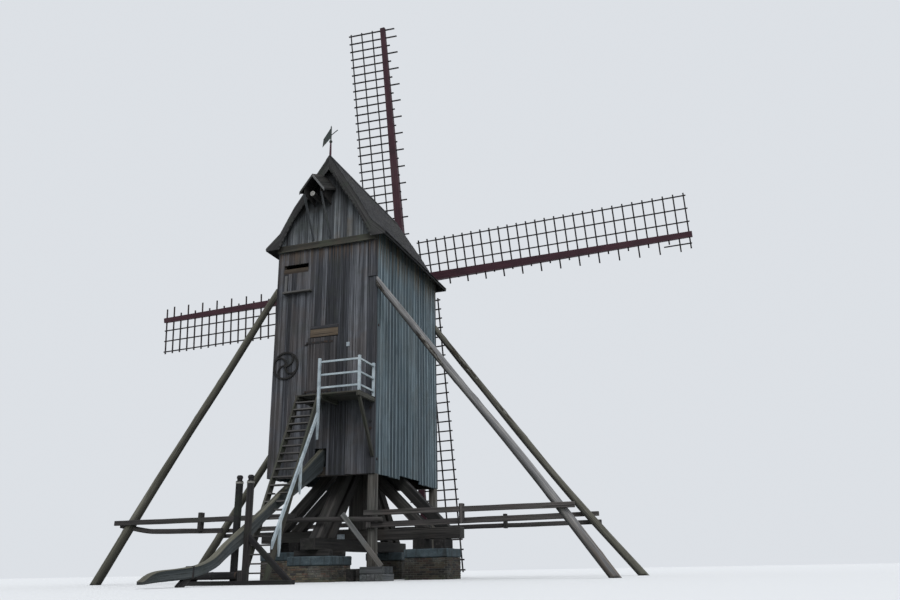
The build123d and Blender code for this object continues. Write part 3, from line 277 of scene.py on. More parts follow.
def makeWhitePaint():
    p = Paint("whitePaint")
    grain = p.grainOf()
    here = p.place()
    fine = p.streaks(grain, 1.2, 24, 4, 0.6)
    patch = p.cloud(here, 2.6, 5, 0.65)
    base = p.ramp(patch, ((0.32, (0.22, 0.26, 0.29)), (0.5, (0.34, 0.40, 0.44)), (0.7, (0.46, 0.51, 0.54))))
    bare = (patch * 0.45 + fine * 0.55).between(0.56, 0.62)
    colour = p.mix(base, (0.070, 0.072, 0.068), bare * 0.75)
    return p.finish(colour, 0.5 + fine * 0.2, fine * 0.4 - bare * 0.8, 0.002)


def makeLog(name, bark, wood, pale, butt):
    p = Paint(name)
    grain = p.grainOf()
    tone = p.toneOf()                     # bark cover, written on the mesh
    here = p.place()
    fine = p.streaks(grain, 1.1, 14, 5, 0.62, 0.4)
    patch = p.streaks(grain, 0.6, 3.2, 4, 0.6)
    base = p.ramp(fine * 0.55 + patch * 0.45, ((0.33, darker(wood, 0.45)), (0.5, wood), (0.66, pale)))
    low = p.axis(here, "Z").between(2.4, 0.2)
    base = p.mix(base, butt, low * patch.between(0.40, 0.58) * 0.75)
    cover = (tone * 1.3 + patch * 0.8 - 0.95).between(0.30, 0.42)
    barkTone = p.ramp(fine, ((0.3, darker(bark, 0.4)), (0.62, bark)))
    colour = p.mix(base, barkTone, cover)
    flakes = p.streaks(grain, 2.2, 5, 5, 0.7, 0.5).between(0.52, 0.58)
    colour = p.mix(colour, pale, cover * flakes * 0.75)
    # painted shade on the underside of the log
    colour = p.mix(colour, (0.020, 0.019, 0.018), p.facing("Z").between(0.15, -0.55) * 0.65)
    crack = p.streaks(grain, 0.4, 20, 2, 0.5, 0.6).between(0.61, 0.67)
    colour = p.mix(colour, (0.012, 0.011, 0.010), crack * 0.8)
    return p.finish(colour, 0.75 + fine * 0.15, fine * 0.5 + cover * 0.8 - crack, 0.010)


def makeBrick(name, level):
    p = Paint(name)
    tone = p.toneOf()
    here = p.place()
    speck = p.cloud(here, 60, 4, 0.6)
    patch = p.cloud(here, 2.2, 4, 0.6)
    kinds = ((0.05, (0.022, 0.020, 0.018)), (0.30, (0.052, 0.046, 0.036)), (0.60, (0.092, 0.080, 0.057)),
             (0.84, (0.076, 0.048, 0.035)), (0.97, (0.028, 0.027, 0.028)))
    base = p.ramp(tone, [(place, darker(colour, level)) for place, colour in kinds])
    colour = p.mix(base, (0.012, 0.012, 0.011), speck.between(0.50, 0.66) * 0.7)
    colour = p.mix(colour, darker((0.160, 0.168, 0.160), max(level, 0.85)),
                   patch.between(0.50, 0.66) * speck.between(0.40, 0.6) * 0.6)
    colour = p.mix(colour, (0.010, 0.010, 0.010), p.cloud(here, 0.9, 4, 0.6).between(0.46, 0.60) * 0.5)
    low = p.axis(here, "Z").between(0.22, 0.0)
    colour = p.mix(colour, (0.045, 0.055, 0.030), low * patch.between(0.42, 0.6) * 0.7)
    return p.finish(colour, 0.85, speck * 0.8, 0.004)


def makeMortar():
    p = Paint("mortar")
    speck = p.cloud(p.place(), 45, 5, 0.65)
    colour = p.ramp(speck, ((0.3, (0.030, 0.030, 0.027)), (0.7, (0.110, 0.108, 0.098))))
    return p.finish(colour, 0.92, speck, 0.006)


def makeCement():
    p = Paint("cement")
    here = p.place()
    speck = p.cloud(here, 30, 5, 0.6)
    patch = p.cloud(here, 1.7, 5, 0.62, 0.5)
    runs = p.cloud(p.stretched(here, (7, 7, 0.9)), 1.0, 4, 0.6)
    colour = p.ramp(patch * 0.6 + speck * 0.4, ((0.34, (0.022, 0.030, 0.034)), (0.52, (0.048, 0.068, 0.080)),
                                                (0.70, (0.105, 0.125, 0.132))))
    colour = p.mix(colour, (0.018, 0.020, 0.019), runs.between(0.50, 0.64) * 0.65)
    return p.finish(colour, 0.88, speck * 0.6 + patch * 0.6, 0.008)


def makePlaque():
    p = Paint("plaqueEnamel")
    cloud = p.cloud(p.place(), 22, 4, 0.6)
    colour = p.ramp(cloud, ((0.35, (0.180, 0.215, 0.250)), (0.65, (0.330, 0.370, 0.400))))
    return p.finish(colour, 0.35 + cloud * 0.2, cloud, 0.0006)


def makeIron(name, base, rust):
    p = Paint(name)
    here = p.place()
    speck = p.cloud(here, 40, 5, 0.65)
    patch = p.cloud(here, 5, 4, 0.6)
    colour = p.mix(base, rust, (speck * 0.5 + patch * 0.5).between(0.50, 0.60) * 0.7)
    return p.finish(colour, 0.5 + speck * 0.3, speck, 0.0015, 0.35)


woods = {name: makeWood(name, look) for name, look in woodLooks.items()}
stockPaint = makeStockPaint()
whitePaint = makeWhitePaint()
brickFinish = makeBrick("brick", 1.35)
# the right and breast piers take the same brick at a darker level
darkerBrick = makeBrick("darkerBrick", 0.55)
plaqueFinish = makePlaque()
mortarFinish = makeMortar()
cementFinish = makeCement()
ironFinish = makeIron("wroughtIron", (0.016, 0.017, 0.019), (0.060, 0.032, 0.018))
vaneFinish = makeIron("vaneMetal", (0.030, 0.042, 0.040), (0.050, 0.045, 0.035))
print("materials ready")


# Every mesh carries the way of the timber on its faces, the grain place on their corners, tone on its points
def addLayers(bm):
    bm.loops.layers.float_vector.new("grain")
    bm.faces.layers.float_vector.new("way")
    bm.verts.layers.float.new("tone")
    return bm


def openPiece():
    return addLayers(bmesh.new())


def block(size):
    bm = openPiece()
    bmesh.ops.create_cube(bm, size=1)
    bmesh.ops.scale(bm, vec=size, verts=bm.verts)
    return bm


def everything(bm):
    return bm.verts[:] + bm.edges[:] + bm.faces[:]


def numbered(bm, number):                # which of the piece's materials the mesh takes
    for f in bm.faces:
        f.material_index = number
    return bm


def setDown(bm, middle, spin=Matrix()):
    bmesh.ops.transform(bm, matrix=Matrix.Translation(middle) @ spin, verts=bm.verts)
    return bm


def pairs(items):
    return list(zip(items, items[1:]))


def readWays(bm, along=None):
    # keeps on every face the direction of the timber it belongs to: its longest edge, or square to a cut end
    layer = bm.faces.layers.float_vector["way"]
    for f in bm.faces:
        if along:
            way = Vector(along).normalized()
        else:
            edge = max(f.edges, key=lambda e: e.calc_length())
            length = edge.calc_length()
            f.normal_update()
            way = f.normal.copy()
            if f.calc_area() < 0.45 * length * length:
                way = (edge.verts[1].co - edge.verts[0].co) / length
        f[layer] = way if way.dot(Vector((0.30, 0.41, 0.86))) > 0 else -way


def layGrain(bm, tone=None, seed=None):
    # writes the grain place of every corner: along the timber, and the two ways across it
    grain = bm.loops.layers.float_vector["grain"]
    layer = bm.faces.layers.float_vector["way"]
    toneLayer = bm.verts.layers.float["tone"]
    if seed is None:
        shift = Vector([dice.uniform(0, 40) for _ in range(3)])
    else:
        shift = Vector((seed, seed * 1.7, seed * 0.6))
    value = dice.random() if tone is None else tone
    for v in bm.verts:
        v[toneLayer] = value
    for f in bm.faces:
        way = f[layer].normalized()
        helper = Vector((0, 0, 1)) if abs(way.z) < 0.8 else Vector((0, 1, 0))
        across = way.cross(helper).normalized()
        deep = way.cross(across)
        for corner in f.loops:
            co = corner.vert.co
            corner[grain] = Vector((co.dot(way), co.dot(across), co.dot(deep))) + shift


def markGrain(bm, along, tone=None, seed=None):
    readWays(bm, along)
    layGrain(bm, tone, seed)


def pour(target, source):
    # adds one small mesh to a bigger one, attributes included
    mesh = bpy.data.meshes.new("part")
    source.to_mesh(mesh)
    source.free()
    target.from_mesh(mesh)
    bpy.data.meshes.remove(mesh)


def closePiece(name, bm, body, materials, replaced=(), smooth=False):
    mesh = bpy.data.meshes.new(name)
    bm.to_mesh(mesh)
    bm.free()
    for material in materials if isinstance(materials, (list, tuple)) else [materials]:
        mesh.materials.append(material)
    if smooth:
        mesh.shade_smooth()
    piece = bpy.data.objects.new(name, mesh)
    bpy.context.scene.collection.objects.link(piece)
    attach(piece, body)
    if replaced:
        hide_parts(*replaced)


def timberPiece(name, parts, material, replaced=(), body="mill"):
    total = openPiece()
    for part in parts:
        pour(total, part)
    closePiece(name, total, body, material, replaced)


def roundOff(bm, width, least=35):
    edges = [e for e in bm.edges if len(e.link_faces) == 2 and e.calc_face_angle(0) > math.radians(least)]
    bmesh.ops.bevel(bm, geom=edges, offset=width, affect="EDGES", segments=1, profile=0.5, material=-1,
                    clamp_overlap=True)


def cutAcross(bm, along, step):
    # rings every so often, so that a timber can be bent a little
    along = Vector(along).normalized()
    places = [v.co.dot(along) for v in bm.verts]
    low, high = min(places), max(places)
    for number in range(1, max(1, int((high - low) / step))):
        point = along * (low + (high - low) * number / int((high - low) / step))
        bmesh.ops.bisect_plane(bm, geom=everything(bm), plane_co=point, plane_no=along)


def cutOff(bm, point, normal):
    # takes away what lies beyond a plane and closes the cut
    cut = bmesh.ops.bisect_plane(bm, geom=everything(bm), plane_co=point, plane_no=normal, clear_outer=True)
    edges = [e for e in cut["geom_cut"] if isinstance(e, bmesh.types.BMEdge)]
    if edges:
        bmesh.ops.holes_fill(bm, edges=edges, sides=0)


def keepBetween(bm, axis, low, high):
    for place, sign in ((low, -1), (high, 1)):
        cutOff(bm, Vector(axis) * place, Vector(axis) * sign)


def groundCut(bm):
    cutOff(bm, (0, 0, 0.001), (0, 0, -1))
    return bm


def wobble(bm, amount, scale=1.3):
    shift = Vector([dice.uniform(0, 50) for _ in range(3)])
    for v in bm.verts:
        v.co += noise.noise_vector(v.co * scale + shift) * amount
        v.co += noise.noise_vector(v.co * scale * 5 + shift) * amount * 0.35


def squared(size, spin, middle, width=0.006, step=0.5, amount=0.004, tone=None, number=0):
    # one squared timber: size along, across and deep, turned by a matrix and set at its middle
    bm = block(size)
    roundOff(bm, min(width, min(size) * 0.3))
    if amount:
        cutAcross(bm, (1, 0, 0), step)
        wobble(bm, amount)
    markGrain(bm, (1, 0, 0), tone)
    return setDown(numbered(bm, number), middle, spin)


def beam(start, end, across, deep, up=(0, 0, 1), **extra):
    # a squared timber between two places
    start, end = Vector(start), Vector(end)
    way = (end - start).normalized()
    side = Vector(up).cross(way).normalized()
    spin = Matrix((way, side, way.cross(side))).transposed().to_4x4()
    return squared(((end - start).length, across, deep), spin, (start + end) / 2, **extra)


def sawn(low, high, **extra):
    # a squared timber between two corners, its grain along its longest side
    low, high = Vector(low), Vector(high)
    middle, size = (low + high) / 2, high - low
    axis = max(range(3), key=lambda number: size[number])
    half = Vector([size[number] / 2 if number == axis else 0 for number in range(3)])
    across, deep = ((size.y, size.z), (size.x, size.z), (size.x, size.y))[axis]
    return beam(middle - half, middle + half, across, deep, up=(0, 1, 0) if axis == 2 else (0, 0, 1), **extra)


def drawnOut(points, shift, number=0, width=0.004, along=None):
    # a flat outline drawn out along a way
    bm = openPiece()
    face = bm.faces.new([bm.verts.new(p) for p in points])
    made = bmesh.ops.extrude_face_region(bm, geom=[face])
    bmesh.ops.translate(bm, vec=shift, verts=[v for v in made["geom"] if isinstance(v, bmesh.types.BMVert)])
    bmesh.ops.recalc_face_normals(bm, faces=bm.faces)
    roundOff(bm, width)
    markGrain(bm, along or shift)
    return numbered(bm, number)


def roundTimber(start, end, radius, endRadius=None, sides=16, step=0.4, amount=0.006, number=0):
    start, end = Vector(start), Vector(end)
    bm = openPiece()
    bmesh.ops.create_cone(bm, cap_ends=True, segments=sides, radius1=radius, radius2=endRadius or radius,
                          depth=(end - start).length)
    readWays(bm)
    cutAcross(bm, (0, 0, 1), step)
    if amount:
        wobble(bm, amount)
    layGrain(bm)
    spin = (end - start).to_track_quat("Z", "X").to_matrix().to_4x4()
    return setDown(numbered(bm, number), (start + end) / 2, spin)


def smoothLine(points, count):
    # places spread evenly by length along a smooth line through the points
    points = [Vector(p) for p in points]
    ends = [points[0] * 2 - points[1]] + points + [points[-1] * 2 - points[-2]]
    fine = []
    for a, b, c, d in zip(ends, ends[1:], ends[2:], ends[3:]):
        for number in range(12):
            t = number / 12
            fine.append((b * 2 + (c - a) * t + (a * 2 - b * 5 + c * 4 - d) * t ** 2
                         + (b * 3 - a - c * 3 + d) * t ** 3) / 2)
    fine.append(points[-1])
    lengths = [0]
    for a, b in pairs(fine):
        lengths.append(lengths[-1] + (b - a).length)
    spread, k = [], 0
    for number in range(count + 1):
        goal = lengths[-1] * number / count
        while k < len(fine) - 2 and lengths[k + 1] < goal:
            k += 1
        share = (goal - lengths[k]) / (lengths[k + 1] - lengths[k])
        spread.append(fine[k].lerp(fine[k + 1], min(1, share)))
    return spread


def bentTimber(topLine, lowLine, wide, toPlace, stations, edge, amount=0.008, tone=None):
    # a timber sawn from a bent trunk: made straight, rounded off and grained, then laid between its two edges
    top, low = [smoothLine([(*point, 0) for point in line], stations) for line in (topLine, lowLine)]
    length = sum((b - a).length for a, b in pairs(top))
    deep = sum((a - b).length for a, b in zip(top, low)) / len(top)
    bm = block((length, wide, deep))
    roundOff(bm, edge)
    readWays(bm, (1, 0, 0))
    cutAcross(bm, (1, 0, 0), length / stations)
    wobble(bm, amount)
    layGrain(bm, tone)
    for v in bm.verts:
        spot = min(max(v.co.x / length + 0.5, 0), 1) * stations
        k = min(int(spot), stations - 1)
        upper = top[k].lerp(top[k + 1], spot - k)
        lower = low[k].lerp(low[k + 1], spot - k)
        here = lower.lerp(upper, v.co.z / deep + 0.5)
        v.co = toPlace(here.x, here.y, v.co.y)
    bmesh.ops.recalc_face_normals(bm, faces=bm.faces)
    return bm


def islandsOf(bm):
    left = set(bm.verts)
    groups = []
    for first in bm.verts:               # by number, so that the order never rests on where memory lies
        if first not in left:
            continue
        left.discard(first)
        stack = [first]
        group = {first}
        while stack:
            for e in stack.pop().link_edges:
                for v in e.verts:
                    if v in left:
                        left.discard(v)
                        group.add(v)
                        stack.append(v)
        groups.append(group)
    return groups


def solidsOf(node):
    # every solid of a node as a clean mesh of its own, welded and with its flat faces joined
    whole = bmesh.new()
    whole.from_mesh(nodes[node].data)
    bmesh.ops.remove_doubles(whole, verts=whole.verts, dist=0.00002)
    whole.verts.index_update()
    found = []
    for group in islandsOf(whole):
        keep = {v.index for v in group}
        part = whole.copy()
        part.verts.ensure_lookup_table()
        bmesh.ops.delete(part, geom=[v for v in part.verts if v.index not in keep], context="VERTS")
        bmesh.ops.dissolve_limit(part, angle_limit=math.radians(1.0), verts=part.verts, edges=part.edges)
        found.append(addLayers(part))
    whole.free()
    return found


def hewn(node, material, body="mill", width=0.010, amount=0.005, along=None, seamsX=(), pick=None):
    # a CAD timber as it really looks: edges rounded off, faces a little uneven
    total = openPiece()
    for part in solidsOf(node):
        for x in seamsX:
            bmesh.ops.bisect_plane(part, geom=everything(part), plane_co=(x, 0, 0), plane_no=(1, 0, 0))
        if pick:
            numbered(part, pick(sum((v.co for v in part.verts), Vector()) / len(part.verts)))
        if width:
            roundOff(part, width)
        readWays(part, along)
        if amount:
            for axis in ((1, 0, 0), (0, 1, 0), (0, 0, 1)):
                cutAcross(part, axis, 0.6)
            wobble(part, amount)
        layGrain(part)
        pour(total, part)
    closePiece(node + "_dressed", total, body, material, replaced=[node])


def at(x, y, z):
    # a place measured from the foot of the post
    return Vector((x, postY + y, z))


def boardPlaces(low, high, width, spread):
    # seams of boards of uneven width
    seams = [low]
    while high - seams[-1] > width * 1.5:
        seams.append(seams[-1] + width * dice.uniform(1 - spread, 1 + spread))
    return seams + [high]


def boardWall(name, wallNodes, axis, outward, material, slot, width, spread=0.25, gap=0.004, body="mill",
              ragged=0.012, sink=0.007):
    # a wall node sawn into its upright boards, each set a little in or out; gives back the seams
    axis, outward = Vector(axis), Vector(outward)
    total = openPiece()
    allSeams = []
    for node in wallNodes:
        solids = solidsOf(node)
        places = [v.co.dot(axis) for s in solids for v in s.verts]
        seams = boardPlaces(min(places), max(places), width, spread)
        allSeams += seams
        for solid in solids:
            for low, high in pairs(seams):
                board = solid.copy()
                keepBetween(board, axis, low + gap / 2, high - gap / 2)
                if not board.verts:
                    board.free()
                    continue
                roundOff(board, 0.004, 50)
                lowest = min(v.co.z for v in board.verts)
                drop = dice.uniform(-ragged, ragged)
                inset = dice.uniform(0, sink)
                lean = dice.uniform(-0.0006, 0.0006)
                for v in board.verts:
                    if v.co.z < lowest + 0.01:
                        v.co.z += drop
                    v.co -= outward * (inset + lean * (v.co.z - lowest))
                markGrain(board, (0, 0, 1))
                pour(total, board)
            solid.free()
    closePiece(name, total, body, material, wallNodes)
    return allSeams


# Walls across the body. Facing is -1 for the ladder's side and 1 for the sails' side.
planed = dict(ragged=0, sink=0.003)      # boards of a hatch or door lie flush and end level
crossWalls = {
    "tailBoards": dict(nodes=["tail_wall_left", "tail_wall_right", "tail_wall_middle"], facing=-1,
                       wood="tailBoards", width=0.235),
    "tailGableBoards": dict(nodes=["tail_gable"], facing=-1, wood="gableBoards", width=0.22),
    "breastBoards": dict(nodes=["breast_wall"], facing=1, wood="tailBoards", width=0.235),
    "breastGableBoards": dict(nodes=["breast_gable"], facing=1, wood="gableBoards", width=0.22),
    "hatchBoards": dict(nodes=["loft_hatch"], facing=-1, wood="tailBoards", width=0.19, extra=planed),
    "doorBoards": dict(nodes=["entrance_door"], facing=-1, wood="doorWood", width=0.185, slot="door_wood",
                       extra=dict(planed, body="door")),
}


def crossWall(name, k):
    boardWall(name, k["nodes"], (1, 0, 0), (0, k["facing"], 0), woods[k["wood"]],
              k.get("slot", "tail_boards"), k["width"], **k.get("extra", {}))


# The gap is where a board is missing at the foot of the right wall
sideWalls = dict(boardWidth=0.287, spread=0.06, battenWidth=0.052, battenDepth=0.022, battenTop=11.25,
                 gapMiddle=0.08, gapHalf=0.95, gapHeight=0.12)


def sideWall(node, side):
    k = sideWalls
    low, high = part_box(node)
    seams = boardWall(node + "_boards", [node], (0, 1, 0), (side, 0, 0), woods["sideBoards"], "side_boards",
                      k["boardWidth"], k["spread"])
    battens = []
    x = (high.x if side > 0 else low.x) + side * k["battenDepth"] / 2
    for seam in seams[1:-1]:
        wide = k["battenWidth"] * dice.uniform(0.8, 1.2)
        y = seam + dice.uniform(-0.006, 0.006)
        foot = low.z + dice.uniform(-0.03, 0.01)
        if abs(seam - (postY + k["gapMiddle"])) < k["gapHalf"] and side > 0:
            foot += k["gapHeight"]
        battens.append(beam((x, y, foot), (x, y, k["battenTop"]), wide, k["battenDepth"], up=(1, 0, 0),
                            step=1.6, width=0.004, tone=dice.uniform(0.35, 1)))
    timberPiece(node + "_battens", battens, woods["battens"])


roofForm = dict(ridge=(0.090, 14.800), knee=(1.270, 12.900), flare=(1.800, 11.950), eave=(2.340, 11.460),
                exposure=0.165, width=0.135, thickness=0.016, lap=0.06, lift=0.012, tilt=(3.0, 5.5),
                side=0.004, least=0.05, gap=0.006, tuck=0.02,
                ridgeBoard=2.1, ridgeWide=0.22, ridgeThick=0.024, ridgeLift=0.030, ridgeDrop=0.105)


def roofShingles(node, side):
    k = roofForm
    low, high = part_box(node)
    corners = [Vector((k["ridge"][0], 0, k["ridge"][1]))]
    corners += [Vector((side * x, 0, z)) for x, z in (k["knee"], k["flare"], k["eave"])]
    total = openPiece()
    slopes = []
    for top, foot in pairs(corners):
        way = (foot - top).normalized()
        normal = way.cross(Vector((0, side, 0)))
        slopes.append((top, (foot - top).length, way, -normal if normal.z < 0 else normal))
    for top, length, way, normal in slopes:
        spin = Matrix((way, normal.cross(way), normal)).transposed().to_4x4()
        rows = round(length / k["exposure"])
        for row in range(rows):
            start = top + way * (length * row / rows)
            y = low.y + k["side"]
            while y < high.y - k["least"]:
                wide = min(k["width"] * dice.uniform(0.7, 1.35), high.y - k["side"] - y)
                tall = length / rows + k["lap"] + dice.uniform(0, 0.02)
                shingle = block((tall, wide - k["gap"], k["thickness"]))
                markGrain(shingle, (1, 0, 0), seed=dice.uniform(0, 40))
                tilt = Matrix.Rotation(math.radians(dice.uniform(*k["tilt"])), 4, "Y")
                middle = (start + way * (tall / 2 - k["tuck"]) + Vector((0, y + wide / 2, 0))
                          + normal * k["lift"])
                pour(total, setDown(shingle, middle, spin @ tilt))
                y += wide
    top, length, way, normal = slopes[0]
    for y0, y1 in pairs(boardPlaces(low.y, high.y, k["ridgeBoard"], 0.1)):
        middle = top + way * k["ridgeDrop"] + Vector((0, (y0 + y1) / 2, 0)) + normal * k["ridgeLift"]
        half = Vector((0, (y1 - y0) / 2 - 0.003, 0))
        pour(total, beam(middle - half, middle + half, k["ridgeWide"], k["ridgeThick"], up=normal, step=0.8))
    closePiece(node + "_shingles", total, "mill", woods["shingles"])


brickwork = dict(length=0.190, height=0.056, joint=0.012, depth=0.09, proud=0.004, capHeight=0.28, lip=0.03)


def pier(node, bricks):
    k = brickwork
    low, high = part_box(node)
    x0, y0 = low.x + k["lip"], low.y + k["lip"]
    x1, y1 = high.x - k["lip"], high.y - k["lip"]
    wallTop = high.z - k["capHeight"]
    total = openPiece()
    pour(total, squared((x1 - x0 - 0.02, y1 - y0 - 0.02, wallTop), Matrix(),
                        ((x0 + x1) / 2, (y0 + y1) / 2, wallTop / 2), amount=0, number=1))
    courses = round(wallTop / (k["height"] + k["joint"]))
    for course in range(courses):
        z = (course + 0.5) * (wallTop / courses)
        for alongX in (True, False):
            a0, a1, b0, b1 = (x0, x1, y0, y1) if alongX else (y0, y1, x0, x1)
            inset = 0 if (course % 2 == 0) == alongX else k["depth"] + k["joint"]
            count = round((a1 - a0 - 2 * inset) / (k["length"] + k["joint"]))
            pitch = (a1 - a0 - 2 * inset) / count
            for number in range(count):
                a = a0 + inset + (number + 0.5) * pitch
                for b in (b0 + k["depth"] / 2, b1 - k["depth"] / 2):
                    out = dice.uniform(-k["proud"], k["proud"])
                    long = pitch - k["joint"] * dice.uniform(0.7, 1.3)
                    across, deep = (long, k["depth"]) if alongX else (k["depth"], long)
                    brick = block((across, deep, k["height"]))
                    roundOff(brick, 0.005)
                    wobble(brick, 0.004, 9)
                    markGrain(brick, (1, 0, 0))
                    pour(total, setDown(brick, (a, b + out, z) if alongX else (b + out, a, z)))
    cap = squared((high.x - low.x, high.y - low.y, k["capHeight"]), Matrix(),
                  ((low.x + high.x) / 2, (low.y + high.y) / 2, high.z - k["capHeight"] / 2), amount=0,
                  width=0.03)
    bmesh.ops.subdivide_edges(cap, edges=[e for e in cap.edges if e.calc_length() > 0.15], cuts=9,
                              use_grid_fill=True)
    for v in cap.verts:
        v.co += noise.noise_vector(v.co * 7) * 0.010
    pour(total, numbered(cap, 2))
    closePiece(node + "_bricks", total, "mill", [bricks, mortarFinish, cementFinish], [node])


# Shores. Bark starts and is full at shares of the length from the foot.
shoreForm = dict(topRadius=0.105, topZ=9.700, wallX=1.950, wallY=3.0, reach=0.4, knots=16, knotLong=0.16)
shores = {
    "tail_right_shore": dict(side=1, end=-1, foot=9.270, radius=0.150, bend=0.06, barkFrom=0.55,
                             barkFull=0.72, bark=(0.036, 0.030, 0.023), wood=(0.145, 0.145, 0.150),
                             pale=(0.330, 0.320, 0.300), butt=(0.085, 0.064, 0.048)),
    "breast_right_shore": dict(side=1, end=1, foot=9.430, radius=0.150, bend=-0.14, barkFrom=0.35,
                               barkFull=0.6, bark=(0.035, 0.030, 0.020), wood=(0.085, 0.082, 0.066),
                               pale=(0.165, 0.165, 0.150), butt=(0.080, 0.080, 0.062)),
    "tail_left_shore": dict(side=-1, end=-1, foot=8.450, radius=0.170, bend=0.06, barkFrom=0.4, barkFull=1.2,
                            bark=(0.050, 0.045, 0.032), wood=(0.105, 0.102, 0.080),
                            pale=(0.200, 0.195, 0.165), butt=(0.050, 0.052, 0.040)),
    "breast_left_shore": dict(side=-1, end=1, foot=8.900, radius=0.170, bend=0.05, barkFrom=0.3, barkFull=1.1,
                              bark=(0.045, 0.040, 0.028), wood=(0.095, 0.092, 0.072),
                              pale=(0.185, 0.180, 0.150), butt=(0.050, 0.050, 0.038)),
}


def shoreLog(node, log):
    k = shoreForm
    side = log["side"]
    y = postY + log["end"] * k["wallY"]
    foot = Vector((side * log["foot"], y, 0))
    head = Vector((side * k["wallX"], y, k["topZ"]))
    length = (head - foot).length + 2 * k["reach"]
    bm = openPiece()
    bmesh.ops.create_cone(bm, cap_ends=True, segments=22, radius1=log["radius"], radius2=k["topRadius"],
                          depth=length)
    cutAcross(bm, (0, 0, 1), 0.16)
    seed = Vector([dice.uniform(0, 30) for _ in range(3)])
    tone = bm.verts.layers.float["tone"]
    grain = bm.loops.layers.float_vector["grain"]
    knots = [(dice.uniform(-0.45, 0.45) * length, dice.uniform(0, math.tau)) for _ in range(k["knots"])]
    for f in bm.faces:
        for corner in f.loops:
            co = corner.vert.co
            around = math.atan2(co.y, co.x)
            corner[grain] = Vector((co.z, math.cos(around) * 0.3, math.sin(around) * 0.3)) + seed
    for v in bm.verts:
        share = v.co.z / length + 0.5
        around = math.atan2(v.co.y, v.co.x)
        patch = noise.noise(Vector((math.cos(around) * 0.5, math.sin(around) * 0.5, v.co.z * 0.55)) + seed)
        cover = min(1, max(0, (share - log["barkFrom"]) / (log["barkFull"] - log["barkFrom"])))
        v[tone] = cover * (0.62 + patch * 0.75)
        swell = 1 + noise.noise(Vector((v.co.x * 2, v.co.y * 2, v.co.z * 0.6)) + seed) * 0.08
        ripple = noise.noise(Vector((0, 0, v.co.z * 5)) + seed)
        swell += 0.12 * min(1, v[tone] * 1.5) + ripple * 0.05 * v[tone]
        for knotZ, knotTurn in knots:
            turn = math.remainder(around - knotTurn, math.tau)
            gap = ((v.co.z - knotZ) / k["knotLong"]) ** 2 + (turn / 0.5) ** 2
            if gap < 1:
                swell += 0.10 * (1 - gap)
        v.co.x *= swell
        v.co.y *= swell
        v.co.x += log["bend"] * math.sin(share * math.pi) + 0.02 * math.sin(share * 9 + seed.x)
        v.co.y += 0.02 * math.sin(share * 7 + seed.y)
    setDown(bm, (foot + head) / 2, (head - foot).normalized().to_track_quat("Z", "X").to_matrix().to_4x4())
    groundCut(bm)
    cutOff(bm, (side * (k["wallX"] + 0.001), 0, 0), (-side, 0, 0))
    material = makeLog(node + "_log", *(log[part] for part in ("bark", "wood", "pale", "butt")))
    closePiece(node + "_log", bm, "mill", material, [node], smooth=True)


# Rails along the shores. A straight rail has the x and z of both ends, a spacer its x, foot and top.
railForm = dict(
    outer=3.1807, inner=3.0207, tall=0.160, thick=0.110, poleY=-3.1557, poleRadius=0.080,
    block=dict(wide=0.140, y=3.068, deep=0.226),
    pole=((-1.000, 1.895), (2.310, 1.810)),
    tailOuter=((-7.740, 2.010, -0.700, 2.010), (1.690, 2.010, 8.290, 2.010)),
    tailInner=(1.790, 1.650, 7.990, 1.715), tailBlock=(1.750, 1.570, 2.085),
    tailSpacers=((-4.350, 1.650, 2.250), (4.810, 1.606, 2.180)),
    breastOuter=((-7.900, 1.990, 8.030, 2.130), (-7.900, 1.785, 8.100, 1.835)),
    breastSpacers=((-4.350, 1.690, 2.240), (4.500, 1.720, 2.240)), breastBlock=(1.750, 1.740, 2.085),
    bend=((-7.620, 1.945), (-6.530, 1.733), (-5.750, 1.693), (-3.500, 1.650)))


def straightRail(side, x0, z0, x1, z1, depth="outer"):
    k = railForm
    y = side * k[depth]
    return beam(at(x0, y, z0), at(x1, y, z1), k["thick"], k["tall"], width=0.008, amount=0.009)


def spacer(side, x, low, high, wide=0.120, y=3.1282, deep=0.215):
    return sawn(at(x, side * y - deep / 2, low), at(x + wide, side * y + deep / 2, high), width=0.010)


def shoreRails():
    k = railForm
    half = k["tall"] / 2
    (x0, z0), (x1, z1) = k["pole"]
    tail = [straightRail(-1, *rail) for rail in k["tailOuter"]]
    tail += [roundTimber(at(x0, k["poleY"], z0), at(x1, k["poleY"], z1), k["poleRadius"]),
             bentTimber([(x, z + half) for x, z in k["bend"]], [(x, z - half) for x, z in k["bend"]],
                        k["thick"], lambda x, z, off: at(x, off - k["inner"], z), stations=28, edge=0.010),
             straightRail(-1, *k["tailInner"], "inner")]
    tail += [spacer(-1, *place) for place in k["tailSpacers"]]
    tail.append(spacer(-1, *k["tailBlock"], **k["block"]))
    timberPiece("tailRails", tail, woods["railWood"], ["tail_rails"])
    breast = [straightRail(1, *rail) for rail in k["breastOuter"]]
    breast += [spacer(1, *place) for place in k["breastSpacers"]]
    breast.append(spacer(1, *k["breastBlock"], **k["block"]))
    timberPiece("breastRails", breast, woods["railWood"], ["breast_rails"])


# Props under the right-hand corners. Each has where its post starts along Y, then both ends of its pad.
propForm = dict(left=1.690, right=1.950, size=0.260, top=3.250, padLeft=1.670, padRight=2.530, padTop=0.420,
                layerTop=0.205, layer=0.207, bearers=(1.100, 1.430), bearerWide=0.230, bearerTop=0.370,
                bearerFront=-3.155, bearerBack=-2.755, bearerJoint=0.130, lowerBack=-2.890,
                kerb=((1.100, -2.885, 0), (1.670, -2.755, 0.130)),
                brace=((0.980, -3.2607, 2.010), (2.330, -3.2607, 0.420)), braceSize=(0.050, 0.160),
                props=((-2.955, -3.425, -2.495), (2.695, 2.495, 3.155)))


